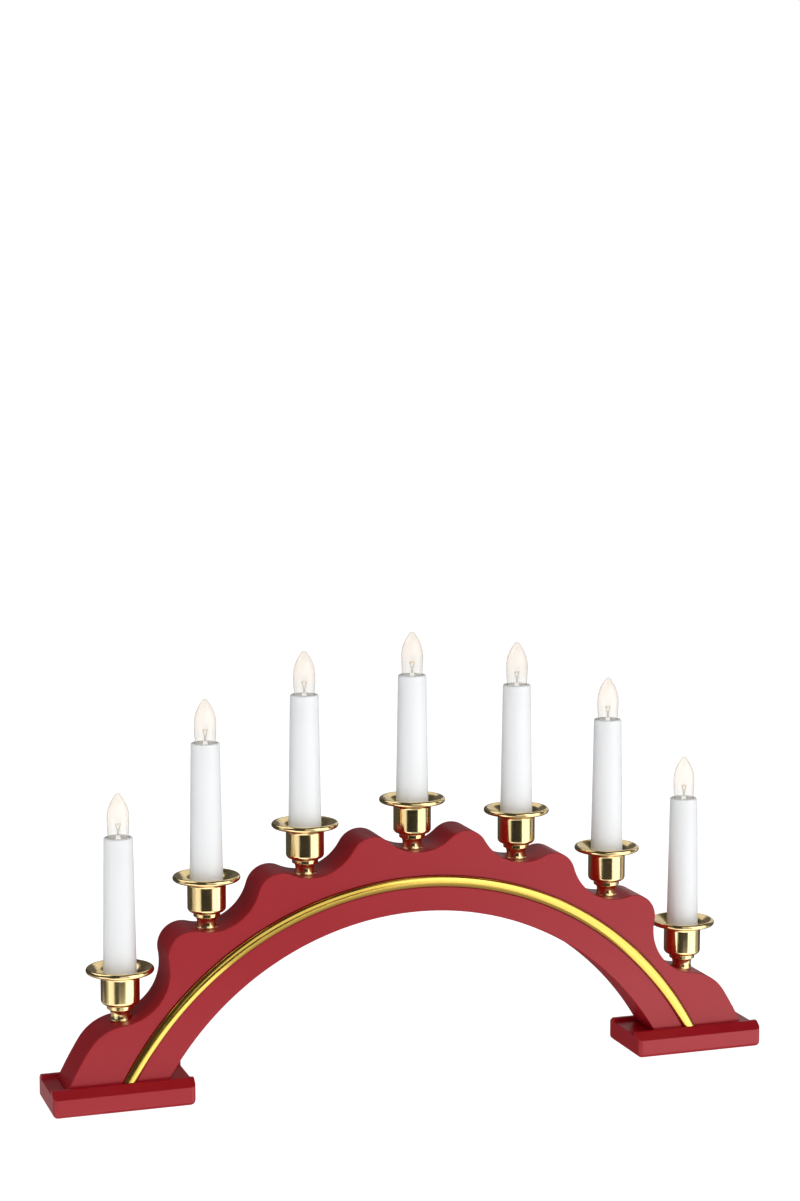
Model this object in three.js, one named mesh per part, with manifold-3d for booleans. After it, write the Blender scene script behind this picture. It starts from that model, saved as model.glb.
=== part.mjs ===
// Electric advent candlestick.
// A scalloped wooden arch stands in the channels of two feet. It carries seven brass drip cups,
// each with a plastic candle and a screw-in bulb. The wires run in a channel in the back of the arch.
// Millimetres, +Z up. The origin is on the table, under the middle of the arch.
import * as THREE from 'three';
import { mergeVertices } from 'three/addons/utils/BufferGeometryUtils.js';
import Module from 'manifold-3d';

// Fits
const clearance = 0.3; // between two pieces that fit together
const facetHeight = 0.16; // how far a facet may lie inside the true arc of an outline

// Feet
const footToe = 13.5; // how far a foot reaches past its leg, inwards
const footHeel = 10.5; // and outwards
const footFloor = 12.8; // wood under the channel that the arch stands in
const footChannelDepth = 2.5;
const footRim = 2.45; // flat strip beside the channel
const footChamferWidth = 5.9;
const footChamferHeight = 4.2;
const footBottomRadius = 2.2;
const footEndRounding = 1.2;

// Arch board
const boardThickness = 30;
const innerApex = 102.5; // underside of the arch at the middle
const innerHalfSpan = 154.5; // of that arc, at the top of the feet
const outerApex = 148.1; // of the arc that the end slopes lie on
const outerHalfSpan = 214.5;
const lightX = [0, 67.5, 128, 180.4]; // from the middle outwards
const scallopFloor = [138.8, 128, 100.2, 49.2]; // lowest point of the scallop at each light
const scallopShift = [0, 0, 0.8, 3.2]; // of that point, outwards from the light's axis
const scallopRadius = 29.6;
const humpRadius = 14.2;
const shoulderRadius = 29; // between the outer scallop and the end slope
const spotFaceDepth = 0.3; // flat under each stem, below the scallop's lowest point

// Moulding on the front
const mouldingApex = 120.8; // middle of its width
const mouldingHalfSpan = 178.6;
const mouldingWidth = 7;
const mouldingProud = 2.5; // in front of the board
const mouldingGroove = 2; // depth of its groove

// Wiring channel in the back, and its cover
const channelOffset = 1.5; // outside the moulding's arc
const channelWidth = 8;
const channelPastAxis = 2; // how far it reaches in front of the candles' axes
const channelAboveFeet = 7.4; // height of its ends above the feet
const coverWidth = 12.4;
const coverThickness = 3;
const inletAngle = 45; // degrees, where the cord enters, on the right
const inletBore = 4.6; // for the cord
const inletWall = 1.4;
const inletFlange = 10.4;
const inletFlangeThickness = 1.5;
const inletInside = 1.2; // how far the bush reaches past the cover
const wireDiameter = 3;
const wireEndGap = 5.4; // from the wires' end to the channel's end

// Stem under each cup
const stemFootDiameter = 13;
const stemFootHeight = 1;
const stemNeckDiameter = 11.6;
const stemNeckHeight = 5.5; // from the foot to the ring
const stemWaistHeight = 2; // straight length of the neck at its narrowest
const stemRingDiameter = 15.8;
const stemRingHeight = 2.5;
const stemSpigotDiameter = 11.2; // inside the candle
const stemSpigotHeight = 15;
const stemTenonDiameter = 8; // in the arch
const stemTenonLength = 12;
const stemBore = 5;

// Drip cup
const cupDiameter = 22.8;
const cupWall = 1;
const cupBarrelHeight = 15.6; // up to the flare
const cupFlareHeight = 4.5;
const cupRimDiameter = 40;
const cupLip = 1.6; // thickness of the rolled lip
const cupCornerRadius = 2.5;

// Candle
const candleLength = 95;
const candleTopDiameter = 17;
const candleTaper = 3.1; // how much wider its foot is than its top
const candleMouth = 13.5; // bore at the top, for the lampholder and the glass
const candleEdgeRadius = 0.9;
const candleLift = [2.7, 4.3, 2.1, 0, 1.7, 5, 3.3]; // each candle above its lowest place, left to right

// Lampholder and bulb, with heights below the candle's top
const holderTop = 3;
const holderHeight = 13;
const holderFloor = 2;
const holderTail = 2; // terminal block under the floor
const holderTailDiameter = 8;
const capDiameter = 9.3;
const capTop = 2.5;
const capHeight = 9.4;
const contactHeight = 1.4;
const contactDiameter = 4.4;
const glassDiameter = 13;
const glassHeight = 25.8; // above the candle's top
const glassWall = 0.8;
const glassSeatDiameter = 9; // where it joins the cap
const glassBelly = 11; // height of its widest place above the candle's top
const glassFullness = 0.55; // how far the belly's curve is kept full, as a share of the way to the tip
const glassPoint = 0.75; // where it turns in to the point, as a share of the same way
const filamentHeight = 7.5; // above the candle's top
const filamentSpread = 3; // between the lead wires
const leadDiameter = 0.8;
const beadDiameter = 4.4;
const beadHeight = 3;

// Screws that hold the feet, two in each
const screwSpacing = 36;
const screwDiameter = 4;
const screwHeadDiameter = 8;
const screwLength = 26;
const screwSunk = 0.6; // head below the foot's underside

// Sides of round pieces, and steps of curved ones
const facets = {
  spotFace: 16,
  tenonHole: 10,
  screw: 8,
  moulding: 84,
  mouldingCrown: 5,
  inlet: 12,
  wire: 5,
  wireTrunk: 28,
  footCorner: 2,
  stem: 10,
  cup: 16,
  cupCorner: 2,
  candle: 14,
  holder: 12,
  cap: 10,
  glass: 12,
  glassCurve: 3,
  lead: 4,
  bead: 6,
};
const overcut = 1; // how far a cutter reaches past the face that it cuts

// Values worked out from the sizes above
const footStart = innerHalfSpan - footToe;
const footLength = outerHalfSpan + footHeel - footStart;
const screwMiddle = footStart + footLength / 2;
const footTop = footFloor + footChannelDepth;
const footChannelWidth = boardThickness + 2 * clearance;
const footDepth = footChannelWidth + 2 * (footRim + footChamferWidth);
const boardFront = -boardThickness / 2;
const boardBack = boardThickness / 2;
const legBottom = footFloor + clearance;
const stemRingTop = stemFootHeight + stemNeckHeight + stemRingHeight;
const cupBase = stemRingTop + clearance;
const candleBottom = cupBase + cupWall + clearance; // of a candle that is pushed right down
const candleBore = stemSpigotDiameter + 2 * clearance;
const holderDiameter = candleMouth - 2 * clearance;
const holderBore = capDiameter + 2 * clearance;
const holderDepth = holderTop + holderHeight;
const screwHeadHeight = (screwHeadDiameter - screwDiameter) / 2;
const innerArc = arcThrough(innerApex, innerHalfSpan);
const outerArc = arcThrough(outerApex, outerHalfSpan);
const mouldingArc = arcThrough(mouldingApex, mouldingHalfSpan);
const channelRadius = mouldingArc.radius + channelOffset;
const channelHalfAngle = angleAtHeight(channelRadius, footTop + channelAboveFeet);
const wireEndAngle = channelHalfAngle - THREE.MathUtils.radToDeg(wireEndGap / channelRadius);

const wasm = await Module();
wasm.setup();

// An arc with its top at the apex height that meets the top of the feet at the half span.
function arcThrough(apex, halfSpan) {
  const rise = apex - footTop;
  const radius = (halfSpan * halfSpan + rise * rise) / (2 * rise);
  return { centre: new THREE.Vector2(0, apex - radius), radius };
}

// Where an arc crosses a height, on the right.
function arcAtHeight(arc, height) {
  const rise = height - arc.centre.y;
  return new THREE.Vector2(Math.sqrt(arc.radius * arc.radius - rise * rise), height);
}

// The angle from upright, in degrees, at which a circle about the moulding's centre crosses a height.
function angleAtHeight(radius, height) {
  return THREE.MathUtils.radToDeg(Math.acos((height - mouldingArc.centre.y) / radius));
}

// Points on an arc of the wiring channel, at an angle in degrees from upright.
function onChannel(radius, degrees) {
  const angle = THREE.MathUtils.degToRad(degrees);
  return new THREE.Vector2(radius * Math.sin(angle), mouldingArc.centre.y + radius * Math.cos(angle));
}

// Points of an arc after its first one, with facets close to the true arc.
function arcPoints(centre, radius, from, to, clockwise) {
  const start = Math.atan2(from.y - centre.y, from.x - centre.x);
  const end = Math.atan2(to.y - centre.y, to.x - centre.x);
  const turn = 2 * Math.PI;
  const sweep = THREE.MathUtils.euclideanModulo(clockwise ? start - end : end - start, turn);
  const count = Math.ceil(sweep / (2 * Math.acos(1 - facetHeight / radius)));
  const curve = new THREE.EllipseCurve(centre.x, centre.y, radius, radius, start, end, clockwise);
  return curve.getPoints(Math.max(1, count)).slice(1);
}

// A point at given distances from two centres, to the right (1) or left (-1) of the way between them.
function pointAtDistances(centreA, distanceA, centreB, distanceB, side) {
  const along = centreB.clone().sub(centreA);
  const apart = along.length();
  along.normalize();
  const reach = (distanceA * distanceA - distanceB * distanceB + apart * apart) / (2 * apart);
  const height = Math.sqrt(distanceA * distanceA - reach * reach);
  const across = new THREE.Vector2(along.y, -along.x);
  return centreA.clone().addScaledVector(along, reach).addScaledVector(across, side * height);
}

// A closed solid for joining and cutting.
function toSolid(geometry) {
  const bare = geometry.clone();
  bare.deleteAttribute('normal');
  bare.deleteAttribute('uv');
  const merged = mergeVertices(bare, 1e-4);
  const corners = merged.index.array;
  const triangles = [];
  for (let i = 0; i < corners.length; i += 3) {
    const [a, b, c] = corners.slice(i, i + 3);
    if (a !== b && b !== c && c !== a) {
      triangles.push(a, b, c);
    }
  }
  const mesh = new wasm.Mesh({
    numProp: 3,
    vertProperties: new Float32Array(merged.attributes.position.array),
    triVerts: new Uint32Array(triangles),
  });
  return new wasm.Manifold(mesh);
}

function toGeometry(solid) {
  const mesh = solid.getMesh();
  const geometry = new THREE.BufferGeometry();
  geometry.setAttribute('position', new THREE.BufferAttribute(mesh.vertProperties, 3));
  geometry.setIndex(new THREE.BufferAttribute(mesh.triVerts, 1));
  geometry.computeVertexNormals();
  return geometry;
}

function join(geometries) {
  return toGeometry(geometries.map(toSolid).reduce((whole, next) => whole.add(next)));
}

function cut(geometry, cutters) {
  return toGeometry(cutters.map(toSolid).reduce((whole, next) => whole.subtract(next), toSolid(geometry)));
}

function common(geometryA, geometryB) {
  return toGeometry(toSolid(geometryA).intersect(toSolid(geometryB)));
}

// A revolved piece, upright, from [radius, height] pairs that run up the outside and back inside.
function turned(profile, sides) {
  const points = profile.map(([radius, height]) => new THREE.Vector2(radius, height));
  return new THREE.LatheGeometry(points, sides).rotateX(Math.PI / 2);
}

// A revolved piece with a bore: its profile closes on itself.
function turnedRing(profile, sides) {
  return turned([...profile, profile[0]], sides);
}

// A flat outline in x and z, with its thickness along y in front of the given back.
function plate(outline, thickness, back) {
  const options = { depth: thickness, bevelEnabled: false };
  const geometry = new THREE.ExtrudeGeometry(new THREE.Shape(outline), options);
  return geometry.rotateX(Math.PI / 2).translate(0, back, 0);
}

// A curved strip about the middle of the moulding's arc.
function curvedStrip(innerRadius, outerRadius, halfAngle, thickness, back) {
  const outerRight = onChannel(outerRadius, halfAngle);
  const outerLeft = onChannel(outerRadius, -halfAngle);
  const innerLeft = onChannel(innerRadius, -halfAngle);
  const innerRight = onChannel(innerRadius, halfAngle);
  const outline = [
    outerRight,
    ...arcPoints(mouldingArc.centre, outerRadius, outerRight, outerLeft, false),
    innerLeft,
    ...arcPoints(mouldingArc.centre, innerRadius, innerLeft, innerRight, true),
  ];
  return plate(outline, thickness, back);
}

// An upright round bar, from one height to another.
function bar(diameter, x, bottom, top, sides) {
  const length = top - bottom;
  const geometry = new THREE.CylinderGeometry(diameter / 2, diameter / 2, length, sides);
  return geometry.rotateX(Math.PI / 2).translate(x, 0, bottom + length / 2);
}

function painted(colour, roughness, metalness = 0) {
  return new THREE.MeshStandardMaterial({ color: colour, roughness, metalness });
}

const redPaint = () => painted(0xa4383d, 0.4);
const brass = () => painted(0xd9b25a, 0.12, 1);
const giltStrip = () => painted(0xd8b640, 0.3, 1);
const candleWhite = () => painted(0xf2f4f5, 0.35);
const holderWhite = () => painted(0xe8e6df, 0.5);
const nickel = () => painted(0xc9c6bf, 0.25, 1);
const glass = () => painted(0xf4efe4, 0.05);
const wireJacket = () => painted(0x9c2f35, 0.5);
const steel = () => painted(0x9fa3a6, 0.35, 1);

function piece(name, geometry, material) {
  const mesh = new THREE.Mesh(geometry, material);
  mesh.name = name;
  return mesh;
}

// The lights from left to right, by their distance from the middle and the height of their seat.
const lights = candleLift.map((lift, index) => {
  const step = index - (candleLift.length - 1) / 2;
  const place = Math.abs(step);
  return {
    number: index + 1,
    x: Math.sign(step) * lightX[place],
    seat: scallopFloor[place] - spotFaceDepth,
    lift,
  };
});

// Right half of the top edge, from the middle scallop out and down the end slope.
function scallopedEdge() {
  const centres = lightX.map((x, place) => {
    return new THREE.Vector2(x + scallopShift[place], scallopFloor[place] + scallopRadius);
  });
  let here = new THREE.Vector2(centres[0].x, scallopFloor[0]);
  const edge = [here];
  for (let place = 0; place + 1 < centres.length; place += 1) {
    const reach = scallopRadius + humpRadius;
    const hump = pointAtDistances(centres[place], reach, centres[place + 1], reach, 1);
    const rising = centres[place].clone().lerp(hump, scallopRadius / reach);
    const falling = centres[place + 1].clone().lerp(hump, scallopRadius / reach);
    edge.push(...arcPoints(centres[place], scallopRadius, here, rising, false));
    edge.push(...arcPoints(hump, humpRadius, rising, falling, true));
    here = falling;
  }
  const last = centres[centres.length - 1];
  const reach = scallopRadius + shoulderRadius;
  const inside = outerArc.radius - shoulderRadius;
  const shoulder = pointAtDistances(last, reach, outerArc.centre, inside, -1);
  const rising = last.clone().lerp(shoulder, scallopRadius / reach);
  const slopeStart = outerArc.centre.clone().lerp(shoulder, outerArc.radius / inside);
  const slopeEnd = arcAtHeight(outerArc, legBottom);
  edge.push(...arcPoints(last, scallopRadius, here, rising, false));
  edge.push(...arcPoints(shoulder, shoulderRadius, rising, slopeStart, true));
  edge.push(...arcPoints(outerArc.centre, outerArc.radius, slopeStart, slopeEnd, true));
  return edge;
}

// Outline of the arch: its right half and the mirror image of it.
function archOutline() {
  const innerFoot = arcAtHeight(innerArc, legBottom);
  const innerTop = new THREE.Vector2(0, innerApex);
  const underside = [innerFoot, ...arcPoints(innerArc.centre, innerArc.radius, innerFoot, innerTop, false)];
  const rightHalf = [...scallopedEdge(), ...underside];
  const leftHalf = rightHalf.slice(1, -1).reverse();
  const mirrored = leftHalf.map((point) => new THREE.Vector2(-point.x, point.y));
  return [...rightHalf, ...mirrored];
}

// Places of the screws along x.
const screwX = [-1, 1].flatMap((side) => {
  return [-1, 1].map((end) => side * screwMiddle + end * screwSpacing / 2);
});

function archBody() {
  const grooveHalf = mouldingWidth / 2 + clearance;
  const channelHalf = channelWidth / 2;
  const rebateHalf = coverWidth / 2 + clearance;
  const rebateAngle = channelHalfAngle + THREE.MathUtils.radToDeg(clearance / channelRadius);
  const grooveAngle = angleAtHeight(mouldingArc.radius, 0); // past the legs' bottoms
  const grooveInner = mouldingArc.radius - grooveHalf;
  const grooveOuter = mouldingArc.radius + grooveHalf;
  const grooveBack = boardFront + mouldingGroove;
  const cutters = [
    curvedStrip(grooveInner, grooveOuter, grooveAngle, 2 * mouldingGroove, grooveBack),
    curvedStrip(channelRadius - channelHalf, channelRadius + channelHalf, channelHalfAngle,
      boardBack + channelPastAxis + overcut, boardBack + overcut),
    curvedStrip(channelRadius - rebateHalf, channelRadius + rebateHalf, rebateAngle,
      coverThickness + clearance + overcut, boardBack + overcut),
    wireLink(-1, wireDiameter + 2 * clearance),
    wireLink(1, wireDiameter + 2 * clearance),
  ];
  for (const light of lights) {
    const spotFace = stemFootDiameter + 2 * clearance;
    const tenonHole = stemTenonDiameter + 2 * clearance;
    const channelHeight = wireHeight(light.x);
    cutters.push(bar(spotFace, light.x, light.seat, light.seat + scallopRadius, facets.spotFace));
    const holeBottom = channelHeight - wireDiameter;
    cutters.push(bar(tenonHole, light.x, holeBottom, light.seat + clearance, facets.tenonHole));
  }
  for (const x of screwX) {
    const pilotTop = screwSunk + screwLength + clearance;
    cutters.push(bar(screwDiameter + 2 * clearance, x, 0, pilotTop, facets.screw));
  }
  return cut(plate(archOutline(), boardThickness, boardBack), cutters);
}

// Half-round strip with its flat back in the groove, cut off level on the feet.
function goldMoulding() {
  const half = mouldingWidth / 2;
  const back = boardFront + mouldingGroove - clearance;
  const edge = boardFront;
  const crown = boardFront - mouldingProud;
  const round = new THREE.EllipseCurve(0, edge, half, edge - crown, Math.PI, 2 * Math.PI);
  const front = round.getPoints(facets.mouldingCrown);
  const section = [[half, back], [-half, back], ...front.map((point) => [point.x, point.y])];
  const ring = section.map(([across, y]) => new THREE.Vector2(mouldingArc.radius + across, y));
  const hoop = new THREE.LatheGeometry([...ring, ring[0]], facets.moulding);
  hoop.translate(0, 0, mouldingArc.centre.y);
  const bottom = footTop + clearance;
  const reach = 2 * mouldingArc.radius;
  const above = new THREE.BoxGeometry(2 * reach, 2 * boardThickness, reach);
  above.translate(0, 0, bottom + reach / 2);
  return common(hoop, above);
}

function inletPlace() {
  return onChannel(channelRadius, inletAngle);
}

// A round bar or hole along y, at the cord's inlet.
function inletRound(diameter, front, back, sides) {
  const place = inletPlace();
  const geometry = new THREE.CylinderGeometry(diameter / 2, diameter / 2, back - front, sides);
  return geometry.translate(place.x, (front + back) / 2, place.y);
}

function rearCover() {
  const half = coverWidth / 2;
  const strip = curvedStrip(channelRadius - half, channelRadius + half, channelHalfAngle,
    coverThickness, boardBack);
  const hole = inletBore + 2 * inletWall + 2 * clearance;
  const front = boardBack - coverThickness - overcut;
  return cut(strip, [inletRound(hole, front, boardBack + overcut, facets.inlet)]);
}

// Bush in the cover where the cord enters: its flange lies on the cover's back.
function inletBush() {
  const flangeFront = boardBack + clearance;
  const flangeBack = flangeFront + inletFlangeThickness;
  const tip = boardBack - coverThickness - inletInside;
  const flangeMiddle = flangeFront + inletFlangeThickness / 2;
  const barrel = inletRound(inletBore + 2 * inletWall, tip, flangeMiddle, facets.inlet);
  const flange = inletRound(inletFlange, flangeFront, flangeBack, facets.inlet);
  const bore = inletRound(inletBore, tip - overcut, flangeBack + overcut, facets.inlet);
  return cut(join([barrel, flange]), [bore]);
}

// Height of the wires in the channel below a light, or at their end for a light beyond it.
function wireHeight(x) {
  const end = onChannel(channelRadius, wireEndAngle);
  const rise = Math.sqrt(Math.max(0, channelRadius * channelRadius - x * x));
  return Math.max(end.y, mouldingArc.centre.y + rise);
}

// The way from an end of the channel across to the outer light: the wire, or the hole for it.
function wireLink(side, diameter) {
  const end = onChannel(channelRadius, wireEndAngle);
  const inner = end.x - wireDiameter;
  const outer = Math.max(end.x, lightX[lightX.length - 1]) + diameter / 2;
  const length = outer - inner;
  const link = new THREE.CylinderGeometry(diameter / 2, diameter / 2, length, facets.wire);
  return link.rotateZ(Math.PI / 2).translate(side * (inner + length / 2), 0, end.y);
}

// Wires: a trunk along the channel, a riser up each stem to its lampholder, and the lead to the inlet.
class ChannelCurve extends THREE.Curve {
  getPoint(t) {
    const place = onChannel(channelRadius, THREE.MathUtils.lerp(-wireEndAngle, wireEndAngle, t));
    return new THREE.Vector3(place.x, 0, place.y);
  }
}

function wiring() {
  const radius = wireDiameter / 2;
  const round = new THREE.EllipseCurve(0, 0, radius, radius).getPoints(facets.wire);
  const section = new THREE.Shape(round);
  const sweep = { steps: facets.wireTrunk, bevelEnabled: false, extrudePath: new ChannelCurve() };
  const trunk = new THREE.ExtrudeGeometry(section, sweep);
  const pieces = [trunk];
  for (const light of lights) {
    const top = light.seat + candleBottom + light.lift + candleLength - holderDepth - holderTail;
    pieces.push(bar(wireDiameter, light.x, wireHeight(light.x), top - clearance, facets.wire));
  }
  const lead = inletRound(wireDiameter, 0, boardBack - coverThickness, facets.wire);
  return join([...pieces, wireLink(-1, wireDiameter), wireLink(1, wireDiameter), lead]);
}

// Foot: a block with chamfered upper edges and a channel along it, with softened ends.
function foot() {
  const half = footDepth / 2;
  const channel = footChannelWidth / 2;
  const shape = new THREE.Shape();
  shape.moveTo(-half + footBottomRadius, 0);
  shape.lineTo(half - footBottomRadius, 0);
  shape.absarc(half - footBottomRadius, footBottomRadius, footBottomRadius, -Math.PI / 2, 0, false);
  shape.lineTo(half, footTop - footChamferHeight);
  shape.lineTo(channel + footRim, footTop);
  shape.lineTo(channel, footTop);
  shape.lineTo(channel, footFloor);
  shape.lineTo(-channel, footFloor);
  shape.lineTo(-channel, footTop);
  shape.lineTo(-channel - footRim, footTop);
  shape.lineTo(-half, footTop - footChamferHeight);
  shape.absarc(-half + footBottomRadius, footBottomRadius, footBottomRadius, Math.PI, 1.5 * Math.PI, false);
  const block = new THREE.ExtrudeGeometry(shape, {
    depth: footLength - 2 * footEndRounding,
    curveSegments: facets.footCorner,
    bevelSegments: 1,
    bevelThickness: footEndRounding,
    bevelSize: footEndRounding,
    bevelOffset: -footEndRounding,
  });
  block.rotateX(Math.PI / 2).rotateZ(Math.PI / 2);
  return block.translate(footStart + footEndRounding, 0, 0);
}

// Countersunk screw, head down, standing in the foot and the leg.
function footScrew() {
  const head = screwHeadDiameter / 2;
  const shank = screwDiameter / 2;
  const profile = [
    [0, 0],
    [head, 0],
    [shank, screwHeadHeight],
    [shank, screwLength - screwDiameter],
    [0, screwLength],
  ];
  return turned(profile, facets.screw);
}

function footWithHoles(side) {
  const cutters = screwX.filter((x) => x * side > 0).flatMap((x) => {
    const head = screwHeadDiameter / 2 + clearance;
    const shank = screwDiameter / 2 + clearance;
    const hole = [[0, -overcut], [head, -overcut], [head, screwSunk], [shank, screwSunk + head - shank],
      [shank, footTop], [0, footTop]];
    return [turned(hole, facets.screw).translate(x, 0, 0)];
  });
  const block = side > 0 ? foot() : foot().translate(-2 * footStart - footLength, 0, 0);
  return cut(block, cutters);
}

// Stem: tenon in the arch, foot on the seat, waisted neck, ring under the cup, spigot in the candle.
function stem() {
  const neck = stemNeckDiameter / 2;
  const ring = stemRingDiameter / 2;
  const neckTop = stemFootHeight + stemNeckHeight;
  const neckMiddle = stemFootHeight + stemNeckHeight / 2;
  const profile = [
    [stemBore / 2, -stemTenonLength],
    [stemTenonDiameter / 2, -stemTenonLength],
    [stemTenonDiameter / 2, 0],
    [stemFootDiameter / 2, 0],
    [stemFootDiameter / 2, stemFootHeight],
    [neck, neckMiddle - stemWaistHeight / 2],
    [neck, neckMiddle + stemWaistHeight / 2],
    [ring, neckTop],
    [ring, stemRingTop],
    [stemSpigotDiameter / 2, stemRingTop],
    [stemSpigotDiameter / 2, stemRingTop + stemSpigotHeight],
    [stemBore / 2, stemRingTop + stemSpigotHeight],
  ];
  return turnedRing(profile, facets.stem);
}

// Drip cup: a barrel with a rounded bottom edge and a wide flared rim with a rolled lip.
function dripCup() {
  const barrel = cupDiameter / 2;
  const hole = stemSpigotDiameter / 2 + clearance;
  const rim = cupRimDiameter / 2;
  const corner = new THREE.EllipseCurve(barrel - cupCornerRadius, cupCornerRadius,
    cupCornerRadius, cupCornerRadius, -Math.PI / 2, 0).getPoints(facets.cupCorner);
  const flareTop = cupBarrelHeight + cupFlareHeight;
  const flareMiddle = (barrel + rim) / 2;
  const profile = [
    [hole, 0],
    ...corner.map((point) => [point.x, point.y]),
    [barrel, cupBarrelHeight],
    [flareMiddle - cupWall, cupBarrelHeight + cupFlareHeight / 2],
    [rim - cupLip / 2, flareTop - cupLip / 2],
    [rim, flareTop],
    [rim - cupLip / 2, flareTop + cupLip / 2],
    [rim - cupLip, flareTop],
    [flareMiddle - cupWall, cupBarrelHeight + cupFlareHeight / 2 + cupWall],
    [barrel - cupWall, cupBarrelHeight],
    [barrel - cupWall, cupWall],
    [hole, cupWall],
  ];
  return turnedRing(profile, facets.cup);
}

// Candle: a tapered tube on the spigot, with a wider bore at its head for the lampholder.
function candleSleeve() {
  const top = candleTopDiameter / 2;
  const shoulder = candleLength - holderDepth - clearance;
  const profile = [
    [candleBore / 2, 0],
    [top + candleTaper / 2, 0],
    [top, candleLength - candleEdgeRadius],
    [top - candleEdgeRadius, candleLength],
    [candleMouth / 2, candleLength],
    [candleMouth / 2, shoulder],
    [candleBore / 2, shoulder],
  ];
  return turnedRing(profile, facets.candle);
}

// Lampholder: a threaded cup that stands on the step in the candle, with its terminals below.
function lampholder() {
  const outside = holderDiameter / 2;
  const profile = [
    [0, -holderTail],
    [holderTailDiameter / 2, -holderTail],
    [holderTailDiameter / 2, 0],
    [outside, 0],
    [outside, holderHeight],
    [holderBore / 2, holderHeight],
    [holderBore / 2, holderFloor],
    [0, holderFloor],
  ];
  return turned(profile, facets.holder);
}

// Bulb cap with its end contact, from the top of the cap down.
function bulbCap() {
  const profile = [
    [0, -capHeight - contactHeight],
    [contactDiameter / 2, -capHeight - contactHeight],
    [capDiameter / 2, -capHeight],
    [capDiameter / 2, 0],
    [0, 0],
  ];
  return turned(profile, facets.cap);
}

// Side of the glass from its seat on the cap to its tip, moved inwards for the inside.
// It rises steeply to the belly and is drawn out from there to a point.
function glassOutline(offset) {
  const belly = glassDiameter / 2 - offset;
  const seat = glassSeatDiameter / 2 - offset;
  const bellyHeight = capTop + glassBelly;
  const tip = capTop + glassHeight - 2 * offset;
  const ogive = tip - bellyHeight;
  const outline = new THREE.Path();
  outline.moveTo(seat, 0);
  outline.quadraticCurveTo(belly, 0, belly, bellyHeight);
  const fullTo = bellyHeight + glassFullness * ogive;
  const pointFrom = bellyHeight + glassPoint * ogive;
  outline.bezierCurveTo(belly, fullTo, glassFullness * belly, pointFrom, 0, tip);
  return outline.getPoints(facets.glassCurve);
}

function bulbGlass() {
  const outside = glassOutline(0);
  const inside = glassOutline(glassWall).reverse();
  return turned([...inside, ...outside].map((point) => [point.x, point.y]), facets.glass);
}

// Filament on its two lead wires, which stand on a glass bead on the cap.
function filament() {
  const top = capTop + filamentHeight;
  const beadProfile = [[0, 0], [beadDiameter / 2, 0], [beadDiameter / 4, beadHeight], [0, beadHeight]];
  const bead = turned(beadProfile, facets.bead);
  const lead = bar(leadDiameter, 0, beadHeight / 2, top, facets.lead);
  const half = filamentSpread / 2;
  const leads = [-half, half].map((x) => {
    const lean = new THREE.Matrix4().makeShear(0, 0, 0, 0, x / (top - beadHeight / 2), 0);
    return lead.clone().translate(0, 0, -beadHeight / 2).applyMatrix4(lean).translate(0, 0, beadHeight / 2);
  });
  const wire = new THREE.CylinderGeometry(leadDiameter / 2, leadDiameter / 2, filamentSpread, facets.lead);
  wire.rotateZ(Math.PI / 2).translate(0, 0, top - leadDiameter / 2);
  return join([bead, ...leads, wire]);
}

// The seven lights share these shapes.
const shapes = {
  stem: stem(),
  cup: dripCup(),
  sleeve: candleSleeve(),
  holder: lampholder(),
  cap: bulbCap(),
  glass: bulbGlass(),
  filament: filament(),
};

// A bulb, with its origin at the top of its cap.
function bulb(number) {
  const group = new THREE.Group();
  const filamentMesh = piece(`filament_${number}`, shapes.filament, steel());
  filamentMesh.position.z = clearance;
  const glassMesh = piece(`bulb_glass_${number}`, shapes.glass, glass());
  glassMesh.position.z = clearance;
  group.add(piece(`bulb_cap_${number}`, shapes.cap, nickel()), glassMesh, filamentMesh);
  return group;
}

// A candle with its lampholder and bulb, with its origin at its foot.
function candle(number) {
  const group = new THREE.Group();
  const holder = piece(`lampholder_${number}`, shapes.holder, holderWhite());
  holder.position.z = candleLength - holderDepth;
  const lamp = bulb(number);
  lamp.position.z = candleLength - capTop - clearance;
  group.add(piece(`candle_sleeve_${number}`, shapes.sleeve, candleWhite()), holder, lamp);
  return group;
}

// A stem with its cup and candle, with its origin on the seat.
function light({ number, x, seat, lift }) {
  const group = new THREE.Group();
  const stemMesh = piece(`cup_stem_${number}`, shapes.stem, brass());
  const cup = piece(`drip_cup_${number}`, shapes.cup, brass());
  cup.position.z = cupBase;
  const candleGroup = candle(number);
  candleGroup.position.z = candleBottom + lift;
  group.add(stemMesh, cup, candleGroup);
  group.position.set(x, 0, seat + clearance);
  return group;
}

function screws() {
  const places = ['left_outer', 'left_inner', 'right_inner', 'right_outer'];
  return places.map((place, index) => {
    const mesh = piece(`foot_screw_${place}`, footScrew(), steel());
    mesh.position.set(screwX[index], 0, screwSunk);
    return mesh;
  });
}

const candlestick = new THREE.Group();
candlestick.add(
  piece('arch_body', archBody(), redPaint()),
  piece('gold_moulding', goldMoulding(), giltStrip()),
  piece('rear_cover', rearCover(), redPaint()),
  piece('cord_inlet_bush', inletBush(), wireJacket()),
  piece('wiring', wiring(), wireJacket()),
  piece('foot_left', footWithHoles(-1), redPaint()),
  piece('foot_right', footWithHoles(1), redPaint()),
  ...screws(),
  ...lights.map(light),
);

export default candlestick;
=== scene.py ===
# %% [markdown]
# # An electric advent candlestick
#
# A scalloped wooden arch, painted satin red, stands in the channels of two feet. Seven polished brass
# drip cups on turned stems carry white plastic candles with small clear screw bulbs, and a gilt
# half-round moulding follows the arch. The CAD model is the fixed frame: it says where every piece is
# and what moves. This lesson models the fine surface of each piece over it, in metres, in the same
# place.

# %% Load the frame
import math

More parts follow.
